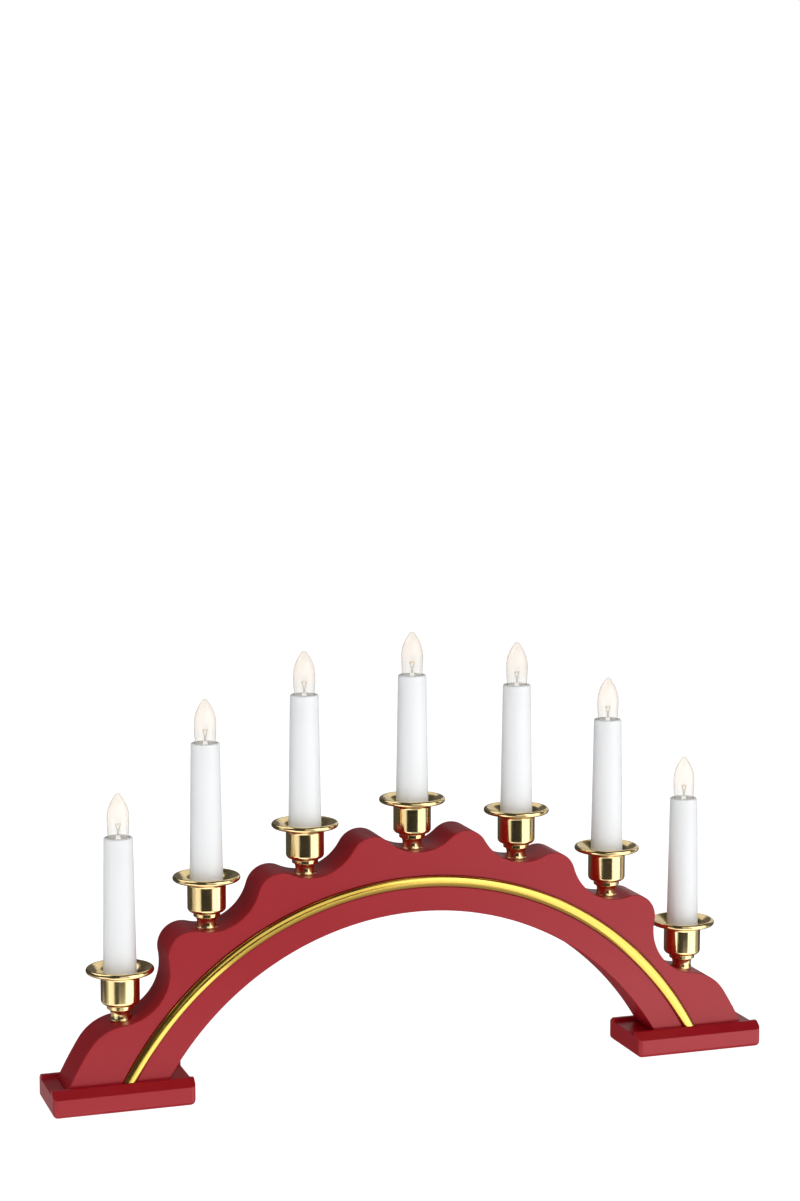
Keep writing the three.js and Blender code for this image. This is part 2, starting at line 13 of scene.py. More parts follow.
import bpy
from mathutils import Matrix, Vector


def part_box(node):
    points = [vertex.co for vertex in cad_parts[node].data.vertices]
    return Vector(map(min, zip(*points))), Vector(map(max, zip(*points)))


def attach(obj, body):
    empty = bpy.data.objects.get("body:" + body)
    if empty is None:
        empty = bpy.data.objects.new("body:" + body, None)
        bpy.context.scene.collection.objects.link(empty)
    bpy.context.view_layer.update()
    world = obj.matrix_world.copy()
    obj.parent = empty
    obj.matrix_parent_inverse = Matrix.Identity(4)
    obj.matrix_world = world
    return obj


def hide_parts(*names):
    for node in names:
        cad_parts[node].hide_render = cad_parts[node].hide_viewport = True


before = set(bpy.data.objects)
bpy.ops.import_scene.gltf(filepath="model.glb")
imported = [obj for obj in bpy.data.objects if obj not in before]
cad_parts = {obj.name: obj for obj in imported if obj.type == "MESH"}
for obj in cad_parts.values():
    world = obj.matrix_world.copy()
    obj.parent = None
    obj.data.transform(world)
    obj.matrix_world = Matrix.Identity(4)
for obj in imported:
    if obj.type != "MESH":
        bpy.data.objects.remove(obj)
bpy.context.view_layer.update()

# %% [markdown]
# ## The camera
#
# The photograph was taken from the left and a little above, with a long lens, so the candles stay
# upright and the far end is hardly smaller than the near end. A camera could be set by eye, but here
# its place and lens were solved from the seven equal rims, so that every piece falls where the
# photograph has it. A camera that looks along a direction is turned with to_track_quat.

# %% Camera
MM = 0.001
CAMERA_PLACE = Vector((-469.9, -1362.4, 452.2)) * MM
CAMERA_FORWARD = Vector((0.31923, 0.94098, -0.11248))
CAMERA_LENS = 72.7

camera_data = bpy.data.cameras.new("photo_camera")
camera_data.lens = CAMERA_LENS
camera = bpy.data.objects.new("photo_camera", camera_data)
camera.location = CAMERA_PLACE
camera.rotation_mode = "QUATERNION"
camera.rotation_quaternion = CAMERA_FORWARD.to_track_quat("-Z", "Y")
bpy.context.scene.collection.objects.link(camera)
bpy.context.scene.camera = camera
bpy.context.scene.view_settings.view_transform = "Standard"
print("Camera looks along", tuple(round(x, 3) for x in CAMERA_FORWARD))

# %% [markdown]
# ## The room
#
# Polished brass shows what stands round it more than it shows itself, so the studio decides how the
# cups look. The world is a dim room over a pale table, and its dark end behind the camera draws the
# dark band down the middle of each cup. A picture of a room could be wrapped round the scene, but soft
# steps along the axes need no file and are easy to move. To the eye, and through the clear bulbs, the
# background is plain white, as on the photograph.

# %% Room
# How bright each part of the room is:
ROOM_END = 0.02
ROOM_LEFT = 0.06
ROOM_RIGHT = 0.12
ROOM_TOP = 0.04
TABLE_FAR = 0.15
TABLE_NEAR = 0.72
TABLE_UNDER = 0.38
TABLE_BEHIND = 0.08
# Where one part gives way to the next, as a direction's share along an axis, or in degrees:
TABLE_TURN, TABLE_TURN_BLUR = -0.25, 0.06
TABLE_EDGE, TABLE_EDGE_BLUR = -0.15, 0.03
UNDER_FROM, UNDER_TO = -0.85, -0.55
RIGHT_FROM, RIGHT_TO = -0.2, 0.05
BEHIND_FROM, BEHIND_TO = 0.0, 0.3
CEILING_FROM, CEILING_TO = 0.55, 0.75
END_HALF_ANGLE, END_BLUR = 35.0, 7.0
END_LOW, END_HIGH, END_EDGE = -0.35, -0.02, 0.05


def node_maker(tree):
    """A short way to add nodes: make("ShaderNodeMath", operation="ADD") and join(a, 0, b, 1)."""

    def make(kind, **settings):
        node = tree.nodes.new(kind)
        for key, value in settings.items():
            setattr(node, key, value)
        return node

    def join(source, out, target, into):
        tree.links.new(source.outputs[out], target.inputs[into])

    return make, join


def add_step(make, join, source, socket, start, stop, low=0.0, high=1.0):
    """A soft step: low before start, high after stop."""
    step = make("ShaderNodeMapRange", interpolation_type="SMOOTHSTEP")
    step.inputs["From Min"].default_value = start
    step.inputs["From Max"].default_value = stop
    step.inputs["To Min"].default_value = low
    step.inputs["To Max"].default_value = high
    join(source, socket, step, "Value")
    return step


def add_blend(make, join, factor, low, high):
    """Goes from one brightness to another with a factor. Each of them is a number or a node's result."""
    blend = make("ShaderNodeMix", data_type="FLOAT")
    join(factor, 0, blend, "Factor")
    for name, side in (("A", low), ("B", high)):
        if isinstance(side, float):
            blend.inputs[name].default_value = side
        else:
            join(side, 0, blend, name)
    return blend


def add_math(make, join, operation, first, second):
    """The sum or the product of two nodes' results."""
    result = make("ShaderNodeMath", operation=operation)
    join(first, 0, result, 0)
    join(second, 0, result, 1)
    return result


def add_seen(make, join):
    """1 for rays from the camera and through glass, and 0 for all others."""
    path = make("ShaderNodeLightPath")
    seen = make("ShaderNodeMath", operation="MAXIMUM")
    join(path, "Is Camera Ray", seen, 0)
    join(path, "Is Transmission Ray", seen, 1)
    return seen


def add_room(make, join):
    """The brightness of the room in each direction."""
    direction = make("ShaderNodeTexCoord")
    along = make("ShaderNodeSeparateXYZ")
    level = make("ShaderNodeVectorMath", operation="MULTIPLY")
    level.inputs[1].default_value = (1, 1, 0)
    unit = make("ShaderNodeVectorMath", operation="NORMALIZE")
    facing = make("ShaderNodeVectorMath", operation="DOT_PRODUCT")
    facing.inputs[1].default_value = Vector((-CAMERA_FORWARD.x, -CAMERA_FORWARD.y, 0)).normalized()
    join(direction, "Generated", along, 0)
    join(direction, "Generated", level, 0)
    join(level, 0, unit, 0)
    join(unit, 0, facing, 0)
    right = add_step(make, join, along, "X", RIGHT_FROM, RIGHT_TO, ROOM_LEFT, ROOM_RIGHT)
    ceiling = add_step(make, join, along, "Z", CEILING_FROM, CEILING_TO)
    walls = add_blend(make, join, ceiling, right, ROOM_TOP)
    near = add_step(make, join, along, "Z", UNDER_FROM, UNDER_TO, TABLE_UNDER, TABLE_NEAR)
    turn = add_step(make, join, along, "Z", TABLE_TURN - TABLE_TURN_BLUR, TABLE_TURN + TABLE_TURN_BLUR)
    table = add_blend(make, join, turn, near, TABLE_FAR)
    behind = add_step(make, join, along, "Y", BEHIND_FROM, BEHIND_TO)
    table = add_blend(make, join, behind, table, TABLE_BEHIND)
    above = add_step(make, join, along, "Z", TABLE_EDGE - TABLE_EDGE_BLUR, TABLE_EDGE + TABLE_EDGE_BLUR)
    end_side = add_step(make, join, facing, "Value", math.cos(math.radians(END_HALF_ANGLE + END_BLUR)),
                        math.cos(math.radians(END_HALF_ANGLE - END_BLUR)))
    end_low = add_step(make, join, along, "Z", END_LOW - END_EDGE, END_LOW + END_EDGE)
    end_high = add_step(make, join, along, "Z", END_HIGH - END_EDGE, END_HIGH + END_EDGE, 1.0, 0.0)
    end_upright = add_math(make, join, "MULTIPLY", end_low, end_high)
    end = add_math(make, join, "MULTIPLY", end_upright, end_side)
    return add_blend(make, join, end, add_blend(make, join, above, table, walls), ROOM_END)


def build_room():
    """The world: white to the camera and through glass, and the room to all else."""
    world = bpy.data.worlds.new("studio")
    bpy.context.scene.world = world
    world.use_nodes = True
    tree = world.node_tree
    tree.nodes.clear()
    make, join = node_maker(tree)
    room = make("ShaderNodeBackground")
    room.inputs["Color"].default_value = (1, 1, 1, 1)
    white = make("ShaderNodeBackground")
    white.inputs["Color"].default_value = (1, 1, 1, 1)
    mix = make("ShaderNodeMixShader")
    output = make("ShaderNodeOutputWorld")
    join(add_room(make, join), 0, room, "Strength")
    join(add_seen(make, join), 0, mix, 0)
    join(room, 0, mix, 1)
    join(white, 0, mix, 2)
    join(mix, 0, output, 0)


build_room()
print("Room:", ROOM_RIGHT, "on the right,", ROOM_LEFT, "on the left and", ROOM_END, "at its dark end")

# %% [markdown]
# ## Soft lights
#
# Each soft light is an area light, placed by its angle round the object and its height, as a
# photographer would say it. The large key light to the right of the camera draws the bright band on
# the brass. A front light above the camera and a light at the left brighten the paint and the candles;
# the photograph shows no reflection of such lights, so they light without being mirrored. A low card
# at the left and two lights behind give the cups, the candles and the humps their edges. Lamps without
# a size would be simpler, but they leave hard spots on brass.

# %% Soft lights
OBJECT_MIDDLE = Vector((0, 0, 0.12))


def around(azimuth, elevation, distance):
    """A place round the object: azimuth 0 is in front of it, and 90 to its right."""
    a, e = math.radians(azimuth), math.radians(elevation)
    away = Vector((math.sin(a) * math.cos(e), -math.cos(a) * math.cos(e), math.sin(e)))
    return OBJECT_MIDDLE + away * distance


def softbox(name, place, width, height, brightness, aim=OBJECT_MIDDLE, shines=True, reflected=True):
    """A soft light or a card that faces its aim. Its brightness is that of its surface, at any size."""
    data = bpy.data.lights.new(name, "AREA")
    data.shape = "RECTANGLE"
    data.size = width
    data.size_y = height
    data.energy = brightness * math.pi * width * height
    light = bpy.data.objects.new(name, data)
    light.location = place
    light.rotation_mode = "QUATERNION"
    light.rotation_quaternion = (aim - place).to_track_quat("-Z", "Y")
    light.visible_camera = False
    light.visible_transmission = False
    light.visible_diffuse = shines
    light.visible_glossy = reflected
    bpy.context.scene.collection.objects.link(light)


softbox("key_light", around(44, 9, 1.7), width=1.75, height=2.1, brightness=1.60)
softbox("front_light", around(-12, 34, 1.5), width=1.3, height=0.75, brightness=2.15, reflected=False)
softbox("left_light", around(-75, 18, 1.5), width=1.2, height=0.9, brightness=1.25, reflected=False)
softbox("low_left_card", around(-68, -19, 1.3), width=0.75, height=0.75, brightness=0.80)
softbox("back_light", around(158, 42, 1.5), width=1.0, height=0.7, brightness=0.75)
softbox("right_back_light", around(135, 14, 1.6), width=1.0, height=0.8, brightness=0.52)
print("Six soft lights")

# %% [markdown]
# ## Cards that are only mirrored
#
# A photographer holds up strips of white card where a shiny piece needs a highlight. A light that
# isn't allowed to shine on matt surfaces does the same: only the brass, the gilt strip and the sheen
# of the paint show it. One stands in front for the moulding's left leg, one high behind at the left
# for the dishes and one at the right for the moulding's crown. Three small ones lie on the table: two
# in front of the feet, and one beside the left foot's end.

# %% Cards
TABLE_CARD = 0.19
TABLE_CARDS = {"left_table_card": (-0.15, -0.12, 1.1), "right_table_card": (0.215, -0.12, 1.1),
               "left_end_card": (-0.29, 0.07, 0.32)}
UP = Vector((0, 0, 1))

softbox("front_card", around(0, 21, 1.6), width=0.95, height=1.1, brightness=0.9, shines=False)
softbox("left_back_card", around(-118, 48, 1.2), width=0.9, height=0.8, brightness=1.5, shines=False)
softbox("crown_card", around(31, 36, 1.5), width=0.5, height=1.5, brightness=0.9, shines=False)
for name, (x, y, brightness) in TABLE_CARDS.items():
    place = Vector((x, y, 0))
    softbox(name, place, TABLE_CARD, TABLE_CARD, brightness, aim=place + UP, shines=False)
print("Six cards that only the polished pieces and the paint's sheen show")

# %% [markdown]
# ## The floor
#
# A plain pale floor carries the feet and their soft shadow. A white floor that is only lit would be
# brighter in some places than in others, so this one glows a little by itself, like a photographer's
# light table, and fades into the white of the background. It isn't mirrored, because the brass would
# show nothing but white: the room's table and the cards on it are mirrored in its place.

# %% Floor
FLOOR_SIZE = 30.0
FLOOR_GLOW = 0.98
FLOOR_GLOW_ON_OBJECT = 0.88
FLOOR_GREY = 0.42
FLOOR_ROUGHNESS = 0.9
FLOOR_BELOW = 0.0001


def floor_paper():
    """Matt paper that glows more to the eye, and through glass, than it lights the object."""
    paper = bpy.data.materials.new("floor_paper")
    paper.use_nodes = True
    tree = paper.node_tree
    make, join = node_maker(tree)
    shader = tree.nodes["Principled BSDF"]
    shader.inputs["Base Color"].default_value = (FLOOR_GREY, FLOOR_GREY, FLOOR_GREY, 1)
    shader.inputs["Roughness"].default_value = FLOOR_ROUGHNESS
    shader.inputs["Specular IOR Level"].default_value = 0.0
    shader.inputs["Emission Color"].default_value = (1, 1, 1, 1)
    glow = make("ShaderNodeMapRange")
    glow.inputs["To Min"].default_value = FLOOR_GLOW_ON_OBJECT
    glow.inputs["To Max"].default_value = FLOOR_GLOW
    join(add_seen(make, join), 0, glow, "Value")
    join(glow, "Result", shader, "Emission Strength")
    return paper


bpy.ops.mesh.primitive_plane_add(size=FLOOR_SIZE, location=(0, 0, -FLOOR_BELOW))
floor = bpy.context.object
floor.name = "floor"
bpy.ops.object.transform_apply(location=True, rotation=False, scale=False)
floor.data.materials.append(floor_paper())
floor.visible_glossy = False
print("Floor of", FLOOR_SIZE, "m")

# %% [markdown]
# ## Drawing by hand
#
# Every piece starts as one point, which is what is left when a small plane is merged at its middle.
# The point is extruded along straight stretches and spun along arcs, so a line has only the points
# that its shape needs. The line is then turned about the upright axis, as on a lathe, or filled and
# extruded, as a board is sawn. Points could be listed one by one, but a drawn line reads like the
# maker's own drawing. The sizes are in millimetres, as on a drawing, and the pen turns them to metres.

# %% Pen
MERGE_DISTANCE = 1e-6
ARC_STEP = math.radians(5)
ARC_CHORD = 2.5


class Pen:
    """Draws a line in x and z, at one depth y."""

    def __init__(self, name, x, z, y=0.0):
        bpy.ops.object.select_all(action="DESELECT")
        bpy.ops.mesh.primitive_plane_add(size=MM, location=Vector((x, y, z)) * MM)
        bpy.ops.object.transform_apply(location=True, rotation=False, scale=False)
        self.piece = bpy.context.object
        self.piece.name = name
        bpy.ops.object.mode_set(mode="EDIT")
        bpy.ops.mesh.select_mode(type="VERT")
        bpy.ops.mesh.select_all(action="SELECT")
        bpy.ops.mesh.merge(type="CENTER")
        self.start = Vector((x, z))
        self.here = Vector((x, z))

    def line(self, x, z):
        """A straight stretch to a point."""
        step = Vector((x - self.here.x, 0, z - self.here.y)) * MM
        bpy.ops.mesh.extrude_vertices_move(TRANSFORM_OT_translate={"value": step})
        self.here = Vector((x, z))
        return self

    def lines(self, points):
        """Straight stretches from point to point."""
        for x, z in points:
            self.line(x, z)
        return self

    def arc(self, centre, end, clockwise=False):
        """An arc about a centre to the direction of a point, the way that the clock says."""
        centre, end = Vector(centre), Vector(end)
        first, last = self.here - centre, end - centre
        sweep = math.atan2(last.y, last.x) - math.atan2(first.y, first.x)
        sweep %= 2 * math.pi
        if clockwise:
            sweep -= 2 * math.pi
        length = abs(sweep) * first.length
        steps = max(2, math.ceil(max(abs(sweep) / ARC_STEP, length / ARC_CHORD)))
        middle = Vector((centre.x, 0, centre.y)) * MM
        bpy.ops.mesh.spin(steps=steps, angle=sweep, center=middle, axis=(0, 1, 0))
        self.here = centre + last.normalized() * first.length
        return self

    def corner(self, x, z, radius, x_next, z_next):
        """A straight stretch towards a corner point, rounded there towards the next point."""
        tip = Vector((x, z))
        back = (self.here - tip).normalized()
        on = (Vector((x_next, z_next)) - tip).normalized()
        half = back.angle(on) / 2
        reach = radius / math.tan(half)
        middle = tip + (back + on).normalized() * (radius / math.sin(half))
        turn = back.x * on.y - back.y * on.x
        self.line(*(tip + back * reach))
        return self.arc(middle, tip + on * reach, clockwise=turn > 0)

    def face(self):
        """Closes the line and fills it."""
        self.line(*self.start)
        bpy.ops.mesh.select_all(action="SELECT")
        bpy.ops.mesh.remove_doubles(threshold=MERGE_DISTANCE)
        bpy.ops.mesh.edge_face_add()
        return self

    def board(self, depth):
        """The filled line, extruded along y."""
        self.face()
        bpy.ops.mesh.extrude_region_move(TRANSFORM_OT_translate={"value": (0, depth * MM, 0)})
        return self.finish()

    def turned(self, sides):
        """The line turned about the upright axis."""
        bpy.ops.mesh.select_all(action="SELECT")
        bpy.ops.mesh.spin(steps=sides, angle=2 * math.pi, center=(0, 0, 0), axis=(0, 0, 1))
        return self.finish()

    def finish(self):
        """Merges what lies on itself, turns the faces outwards and leaves edit mode."""
        bpy.ops.mesh.select_all(action="SELECT")
        bpy.ops.mesh.remove_doubles(threshold=MERGE_DISTANCE)
        bpy.ops.mesh.normals_make_consistent(inside=False)
        bpy.ops.object.mode_set(mode="OBJECT")
        return self.piece


print("A pen whose arcs have a point at least every", ARC_CHORD, "mm")

# %% [markdown]
# ## Working on a piece
#
# A joiner sands the edges, cuts the grooves and makes what repeats to one pattern. A Bevel modifier, a
# Boolean modifier and a copy do that here. Each modifier is applied at once, so that the mesh is final
# and the next tool works on what is really there. A piece is dressed last: it gets its finish, it is
# hung on an empty for the body that it rides on, and the CAD nodes that it stands for are hidden.

# %% Tools for pieces
EDGE_STEPS = 3
FLAT_FACE_WEIGHT = 80


def pick(piece):
    """Selects one piece alone and makes it the active one."""
    bpy.ops.object.select_all(action="DESELECT")
    piece.select_set(True)
    bpy.context.view_layer.objects.active = piece


def apply_modifier(piece, kind, **settings):
    """Adds a modifier, sets it and applies it."""
    modifier = piece.modifiers.new(kind.lower(), kind)
    for key, value in settings.items():
        setattr(modifier, key, value)
    pick(piece)
    bpy.ops.object.modifier_apply(modifier=modifier.name)


def soften(piece, width, angle=40):
    """Rounds the edges that are sharper than an angle."""
    apply_modifier(piece, "BEVEL", width=width * MM, segments=EDGE_STEPS, limit_method="ANGLE",
                   angle_limit=math.radians(angle), use_clamp_overlap=False, miter_outer="MITER_ARC")


def carve(piece, *cutters):
    """Cuts other pieces out of this one, and takes them away."""
    for cutter in cutters:
        apply_modifier(piece, "BOOLEAN", operation="DIFFERENCE", solver="EXACT", object=cutter)
        bpy.data.objects.remove(cutter)


def settle(piece, rotation, place):
    """Turns and moves a piece, and keeps that in its mesh."""
    pick(piece)
    piece.rotation_euler = rotation
    piece.location = place
    bpy.ops.object.transform_apply(location=True, rotation=True, scale=False)
    return piece


def smooth(piece, angle=35):
    """Shades round surfaces smooth and keeps flat ones flat, and says what the piece has become."""
    pick(piece)
    bpy.ops.object.shade_smooth_by_angle(angle=math.radians(angle))
    apply_modifier(piece, "WEIGHTED_NORMAL", weight=FLAT_FACE_WEIGHT, keep_sharp=True)
    print(piece.name, "has", len(piece.data.polygons), "faces")
    return piece


def copied(piece, name, offset):
    """A copy with its own mesh, moved by an offset in metres that goes into the mesh."""
    pick(piece)
    bpy.ops.object.duplicate()
    copy = bpy.context.object
    copy.name = name
    copy.location = offset
    bpy.ops.object.transform_apply(location=True, rotation=False, scale=False)
    return copy


def dress(piece, finish, body, slot, *nodes):
    """Gives a piece its finish and its body, and hides the CAD nodes that it stands for. The slot is not
    used.
    """
    piece.data.materials.clear()
    piece.data.materials.append(finish)
    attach(piece, body)
    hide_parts(*nodes)


print("Tools that round an edge in", EDGE_STEPS, "steps")

# %% [markdown]
# ## The finishes
#
# Sprayed paint has a faint orange peel, polished brass has fine turning marks and a little haze, and
# moulded plastic is even but not perfectly smooth. Pictures could be laid on the pieces, but noise on
# Object coordinates has no seams and keeps its real scale on every piece. What is the same all over is
# set on the shader's own sockets, and only what varies comes from nodes.

# %% Finish maker
NOISE_LOW, NOISE_HIGH = 0.3, 0.7


def new_finish(name, colour, roughness, **sockets):
    """A material with a plain shader, and the tools to add nodes to it."""
    finish = bpy.data.materials.new(name)
    finish.use_nodes = True
    tree = finish.node_tree
    shader = tree.nodes["Principled BSDF"]
    shader.inputs["Base Color"].default_value = (*colour, 1)
    shader.inputs["Roughness"].default_value = roughness
    for socket, value in sockets.items():
        shader.inputs[socket.replace("_", " ")].default_value = value
    make, join = node_maker(tree)
    place = make("ShaderNodeTexCoord")
    return finish, shader, place, make, join


def add_noise(place, make, join, scale, detail=3.0, stretch=(1, 1, 1)):
    """Noise of a scale, in spots to the metre, stretched along the axes."""
    mapping = make("ShaderNodeMapping")
    mapping.inputs["Scale"].default_value = stretch
    noise = make("ShaderNodeTexNoise")
    noise.inputs["Scale"].default_value = scale
    noise.inputs["Detail"].default_value = detail
    join(place, "Object", mapping, "Vector")
    join(mapping, "Vector", noise, "Vector")
    return noise


def add_bump(make, join, noise, shader, strength, distance):
    """A bump of a height in millimetres."""
    bump = make("ShaderNodeBump")
    bump.inputs["Strength"].default_value = strength
    bump.inputs["Distance"].default_value = distance * MM
    join(noise, "Fac", bump, "Height")
    join(bump, "Normal", shader, "Normal")


def add_range(make, join, noise, shader, socket, low, high):
    """Lets a socket vary with the noise between two values."""
    spread = make("ShaderNodeMapRange")
    spread.inputs["From Min"].default_value = NOISE_LOW
    spread.inputs["From Max"].default_value = NOISE_HIGH
    spread.inputs["To Min"].default_value = low
    spread.inputs["To Max"].default_value = high
    join(noise, "Fac", spread, "Value")
    join(spread, "Result", shader, socket)


def add_tint(make, join, pattern, shader, low, high, socket="Base Color", out="Fac"):
    """Lets a colour vary with a pattern between two colours."""
    mix = make("ShaderNodeMix", data_type="RGBA")
    first, second = [side for side in mix.inputs if side.type == "RGBA"]
    first.default_value = (*low, 1)
    second.default_value = (*high, 1)
    join(pattern, out, mix, 0)
    result = [side for side in mix.outputs if side.type == "RGBA"][0]
    shader.id_data.links.new(result, shader.inputs[socket])


print("A finish varies where its noise goes from", NOISE_LOW, "to", NOISE_HIGH)


# %% Paint, metals and plastics
def plain_finish(name, colour, roughness, cloud=None, tint=None, vary=None,
                 grain=None, detail=3.0, stretch=(1, 1, 1), bump=None, **sockets):
    """A finish that a soft cloud tints or varies, and that a finer grain gives a faint relief."""
    finish, shader, place, make, join = new_finish(name, colour, roughness, **sockets)
    if cloud:
        noise = add_noise(place, make, join, cloud)
        add_range(make, join, noise, shader, *vary)
        if tint:
            add_tint(make, join, noise, shader, *tint)
    if grain:
        noise = add_noise(place, make, join, grain, detail, stretch)
        add_bump(make, join, noise, shader, *bump)
    return finish


FINISHES = {
    "red_paint": plain_finish(
        "red_paint", (0.34, 0.0025, 0.010), 0.37, Specular_IOR_Level=0.42,
        cloud=18, tint=((0.325, 0.002, 0.009), (0.355, 0.003, 0.0115)), vary=("Roughness", 0.345, 0.395),
        grain=420, detail=2.0, bump=(0.10, 0.05)),
    "brass": plain_finish(
        "polished_brass", (0.93, 0.71, 0.35), 0.16, Metallic=1.0,
        cloud=60, vary=("Roughness", 0.13, 0.19),
        grain=900, detail=1.0, stretch=(0.02, 0.02, 1.0), bump=(0.05, 0.01)),
    "gilt": plain_finish(
        "gilt_strip", (0.76, 0.50, 0.05), 0.18, Metallic=1.0,
        Coat_Weight=1.0, Coat_Roughness=0.12, Coat_IOR=1.65,
        cloud=140, vary=("Roughness", 0.14, 0.22), grain=260, detail=2.0, bump=(0.12, 0.05)),
    "candle_white": plain_finish(
        "candle_white", (0.90, 0.915, 0.93), 0.38,
        Subsurface_Weight=0.3, Subsurface_Scale=0.004, Subsurface_Radius=(1, 1, 1),
        cloud=40, vary=("Roughness", 0.34, 0.44), grain=500, detail=2.0, bump=(0.06, 0.03)),
    "holder_white": plain_finish(
        "holder_white", (0.80, 0.79, 0.75), 0.45, grain=700, bump=(0.1, 0.03)),
    "nickel": plain_finish(
        "nickel", (0.72, 0.69, 0.63), 0.25, Metallic=1.0, cloud=300, vary=("Roughness", 0.2, 0.34)),
    "steel": plain_finish(
        "steel", (0.55, 0.56, 0.57), 0.32, Metallic=1.0, cloud=400, vary=("Roughness", 0.26, 0.42)),
    "wire_jacket": plain_finish(
        "wire_jacket", (0.30, 0.012, 0.018), 0.42, grain=800, bump=(0.1, 0.03))}
print("Finishes:", ", ".join(FINISHES))

# %% [markdown]
# ## Glass
# The bulbs are thin clear glass in front of a white background, so they show by their edges and by a
# faint warm tint. A see-through shader would have no edges: a refracting shader on a shell with two
# walls bends the light there, and absorption in the wall shades it. The warm tint is painted light, a
# very weak glow that grows up the bulb, and a second painted glow lights the foot, which is down in the
# candle's mouth, where little light reaches through the glass. Both follow an attribute of the glass,
# its height in the bulb. The bead and the mount are milky and the filament is pale; they are plain
# shaders with a little painted glow, which stands in for the light that reaches them through the glass.

# %% Glass and filament
GLASS_IOR = 1.46
GLASS_WAVES = 120
GLASS_WAVE_BUMP = (0.04, 0.05)
GLASS_SHADE = (0.34, 0.22, 0.0, 1)
GLASS_DENSITY = 200.0
# Painted light: the glass glows weakly in these colours, warm towards its tip for its tint and pale at
# its foot down in the candle's mouth.
PAINTED_TIP_GLOW_COLOUR = (1.0, 0.5, 0.14)
GLASS_WARM_GLOW = 0.03
PAINTED_FOOT_GLOW_COLOUR = (1.0, 0.98, 0.95)
GLASS_FOOT_GLOW = 0.06
FOOT_FADE_FROM, FOOT_FADE_TO = 0.06, 0.14
WARM_FROM, WARM_TO = 0.25, 0.65


def clear_glass():
    """Blown glass with a painted glow, warm towards its tip for its tint and pale at its foot, where
    little light reaches.
    """
    finish, shader, place, make, join = new_finish("clear_glass", (1, 1, 1), 0.0, Transmission_Weight=1.0,
                                                   IOR=GLASS_IOR)
    blown = add_noise(place, make, join, GLASS_WAVES, detail=1.0)
    add_bump(make, join, blown, shader, *GLASS_WAVE_BUMP)
    height = make("ShaderNodeAttribute", attribute_name="height_in_bulb")
    warm = add_step(make, join, height, "Fac", WARM_FROM, WARM_TO, 0.0, GLASS_WARM_GLOW)
    foot = add_step(make, join, height, "Fac", FOOT_FADE_FROM, FOOT_FADE_TO, GLASS_FOOT_GLOW, 0.0)
    join(add_math(make, join, "ADD", warm, foot), 0, shader, "Emission Strength")
    upper = add_step(make, join, height, "Fac", FOOT_FADE_TO, WARM_FROM)
    add_tint(make, join, upper, shader, PAINTED_FOOT_GLOW_COLOUR, PAINTED_TIP_GLOW_COLOUR, "Emission Color", 0)
    shade = make("ShaderNodeVolumeAbsorption")
    shade.inputs["Color"].default_value = GLASS_SHADE
    shade.inputs["Density"].default_value = GLASS_DENSITY
    output = finish.node_tree.nodes["Material Output"]
    join(shade, "Volume", output, "Volume")
    return finish


FINISHES["clear_glass"] = clear_glass()
# The bead, the mount and the filament glow a little: painted light that stands in for the light that
# reaches them through the glass.
FINISHES["bead_glass"] = plain_finish(
    "bead_glass", (0.84, 0.78, 0.68), 0.2, Emission_Color=(1.0, 0.90, 0.72, 1),
    cloud=900, tint=((0.80, 0.73, 0.62), (0.88, 0.83, 0.74)), vary=("Emission Strength", 0.15, 0.30))
FINISHES["mount_glass"] = plain_finish(
    "mount_glass", (0.86, 0.85, 0.83), 0.15, Emission_Color=(1.0, 0.97, 0.92, 1),
    cloud=700, tint=((0.82, 0.81, 0.79), (0.90, 0.89, 0.87)), vary=("Emission Strength", 0.35, 0.55))
FINISHES["glowing_wire"] = plain_finish(
    "glowing_wire", (0.85, 0.72, 0.52), 0.4, Emission_Color=(1.0, 0.85, 0.62, 1),
    cloud=900, vary=("Emission Strength", 0.2, 0.35))
print("Finishes now:", ", ".join(FINISHES))

# %% [markdown]
# ## The arch
#
# The arch is sawn from a board. Its underside is one arc, and its top edge is a chain of arcs that run
# into each other: a hollow at each light, a hump between each two, and a shoulder at each end that
# runs into the end slope. Cylinders could be cut out of a plain board and added to it, but that leaves
# seams where they meet. Two circles that touch have their centres in line with the point where they
# touch, so every joint of the chain is worked out from the centres, and the arcs run into each other
# without a kink.

# %% Arch sizes
board_low, board_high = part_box("arch_body")
BOARD_FRONT = board_low.y / MM
BOARD_BACK = board_high.y / MM
LEG_BOTTOM = board_low.z / MM
FOOT_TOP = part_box("foot_left")[1].z / MM
CLEARANCE = 0.3
INNER_APEX, INNER_HALF_SPAN = 102.5, 154.5
OUTER_APEX, OUTER_HALF_SPAN = 148.1, 214.5
SCALLOP_RADIUS = 29.6
HUMP_RADIUS = 14.2
SHOULDER_RADIUS = 29.0
SCALLOP_FLOOR = [138.8, 128.0, 100.2, 49.2]
SCALLOP_SHIFT = [0.0, 0.0, 0.8, 3.2]
ARCH_EDGE = 0.7
LIGHTS = range(1, 8)
RIGHT_HALF = (4, 5, 6, 7)


def axis_of(node):
    """The middle of a node's box in x, in millimetres."""
    low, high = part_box(node)
    return (low.x + high.x) / 2 / MM


LIGHT_X = [axis_of(f"cup_stem_{light}") for light in RIGHT_HALF]
print("From the middle out, the lights stand at x", [round(x, 1) for x in LIGHT_X])


# %% Arcs that touch
def arc_through(apex, half_span):
    """Centre and radius of an arc with its top at a height, which meets the feet at a half span."""
    rise = apex - FOOT_TOP
    radius = (half_span**2 + rise**2) / (2 * rise)
    return Vector((0, apex - radius)), radius


def at_height(centre, radius, height):
    """Where a circle crosses a height, on the right."""
    return Vector((math.sqrt(radius**2 - (height - centre.y) ** 2), height))


def between(centre_a, reach_a, centre_b, reach_b, side):
    """A point at given distances from two centres, on one side of the line from a to b."""
    along = centre_b - centre_a
    apart = along.length
    along.normalize()
    reach = (reach_a**2 - reach_b**2 + apart**2) / (2 * apart)
    height = math.sqrt(reach_a**2 - reach**2)
    across = Vector((along.y, -along.x))
    return centre_a + along * reach + across * (side * height)


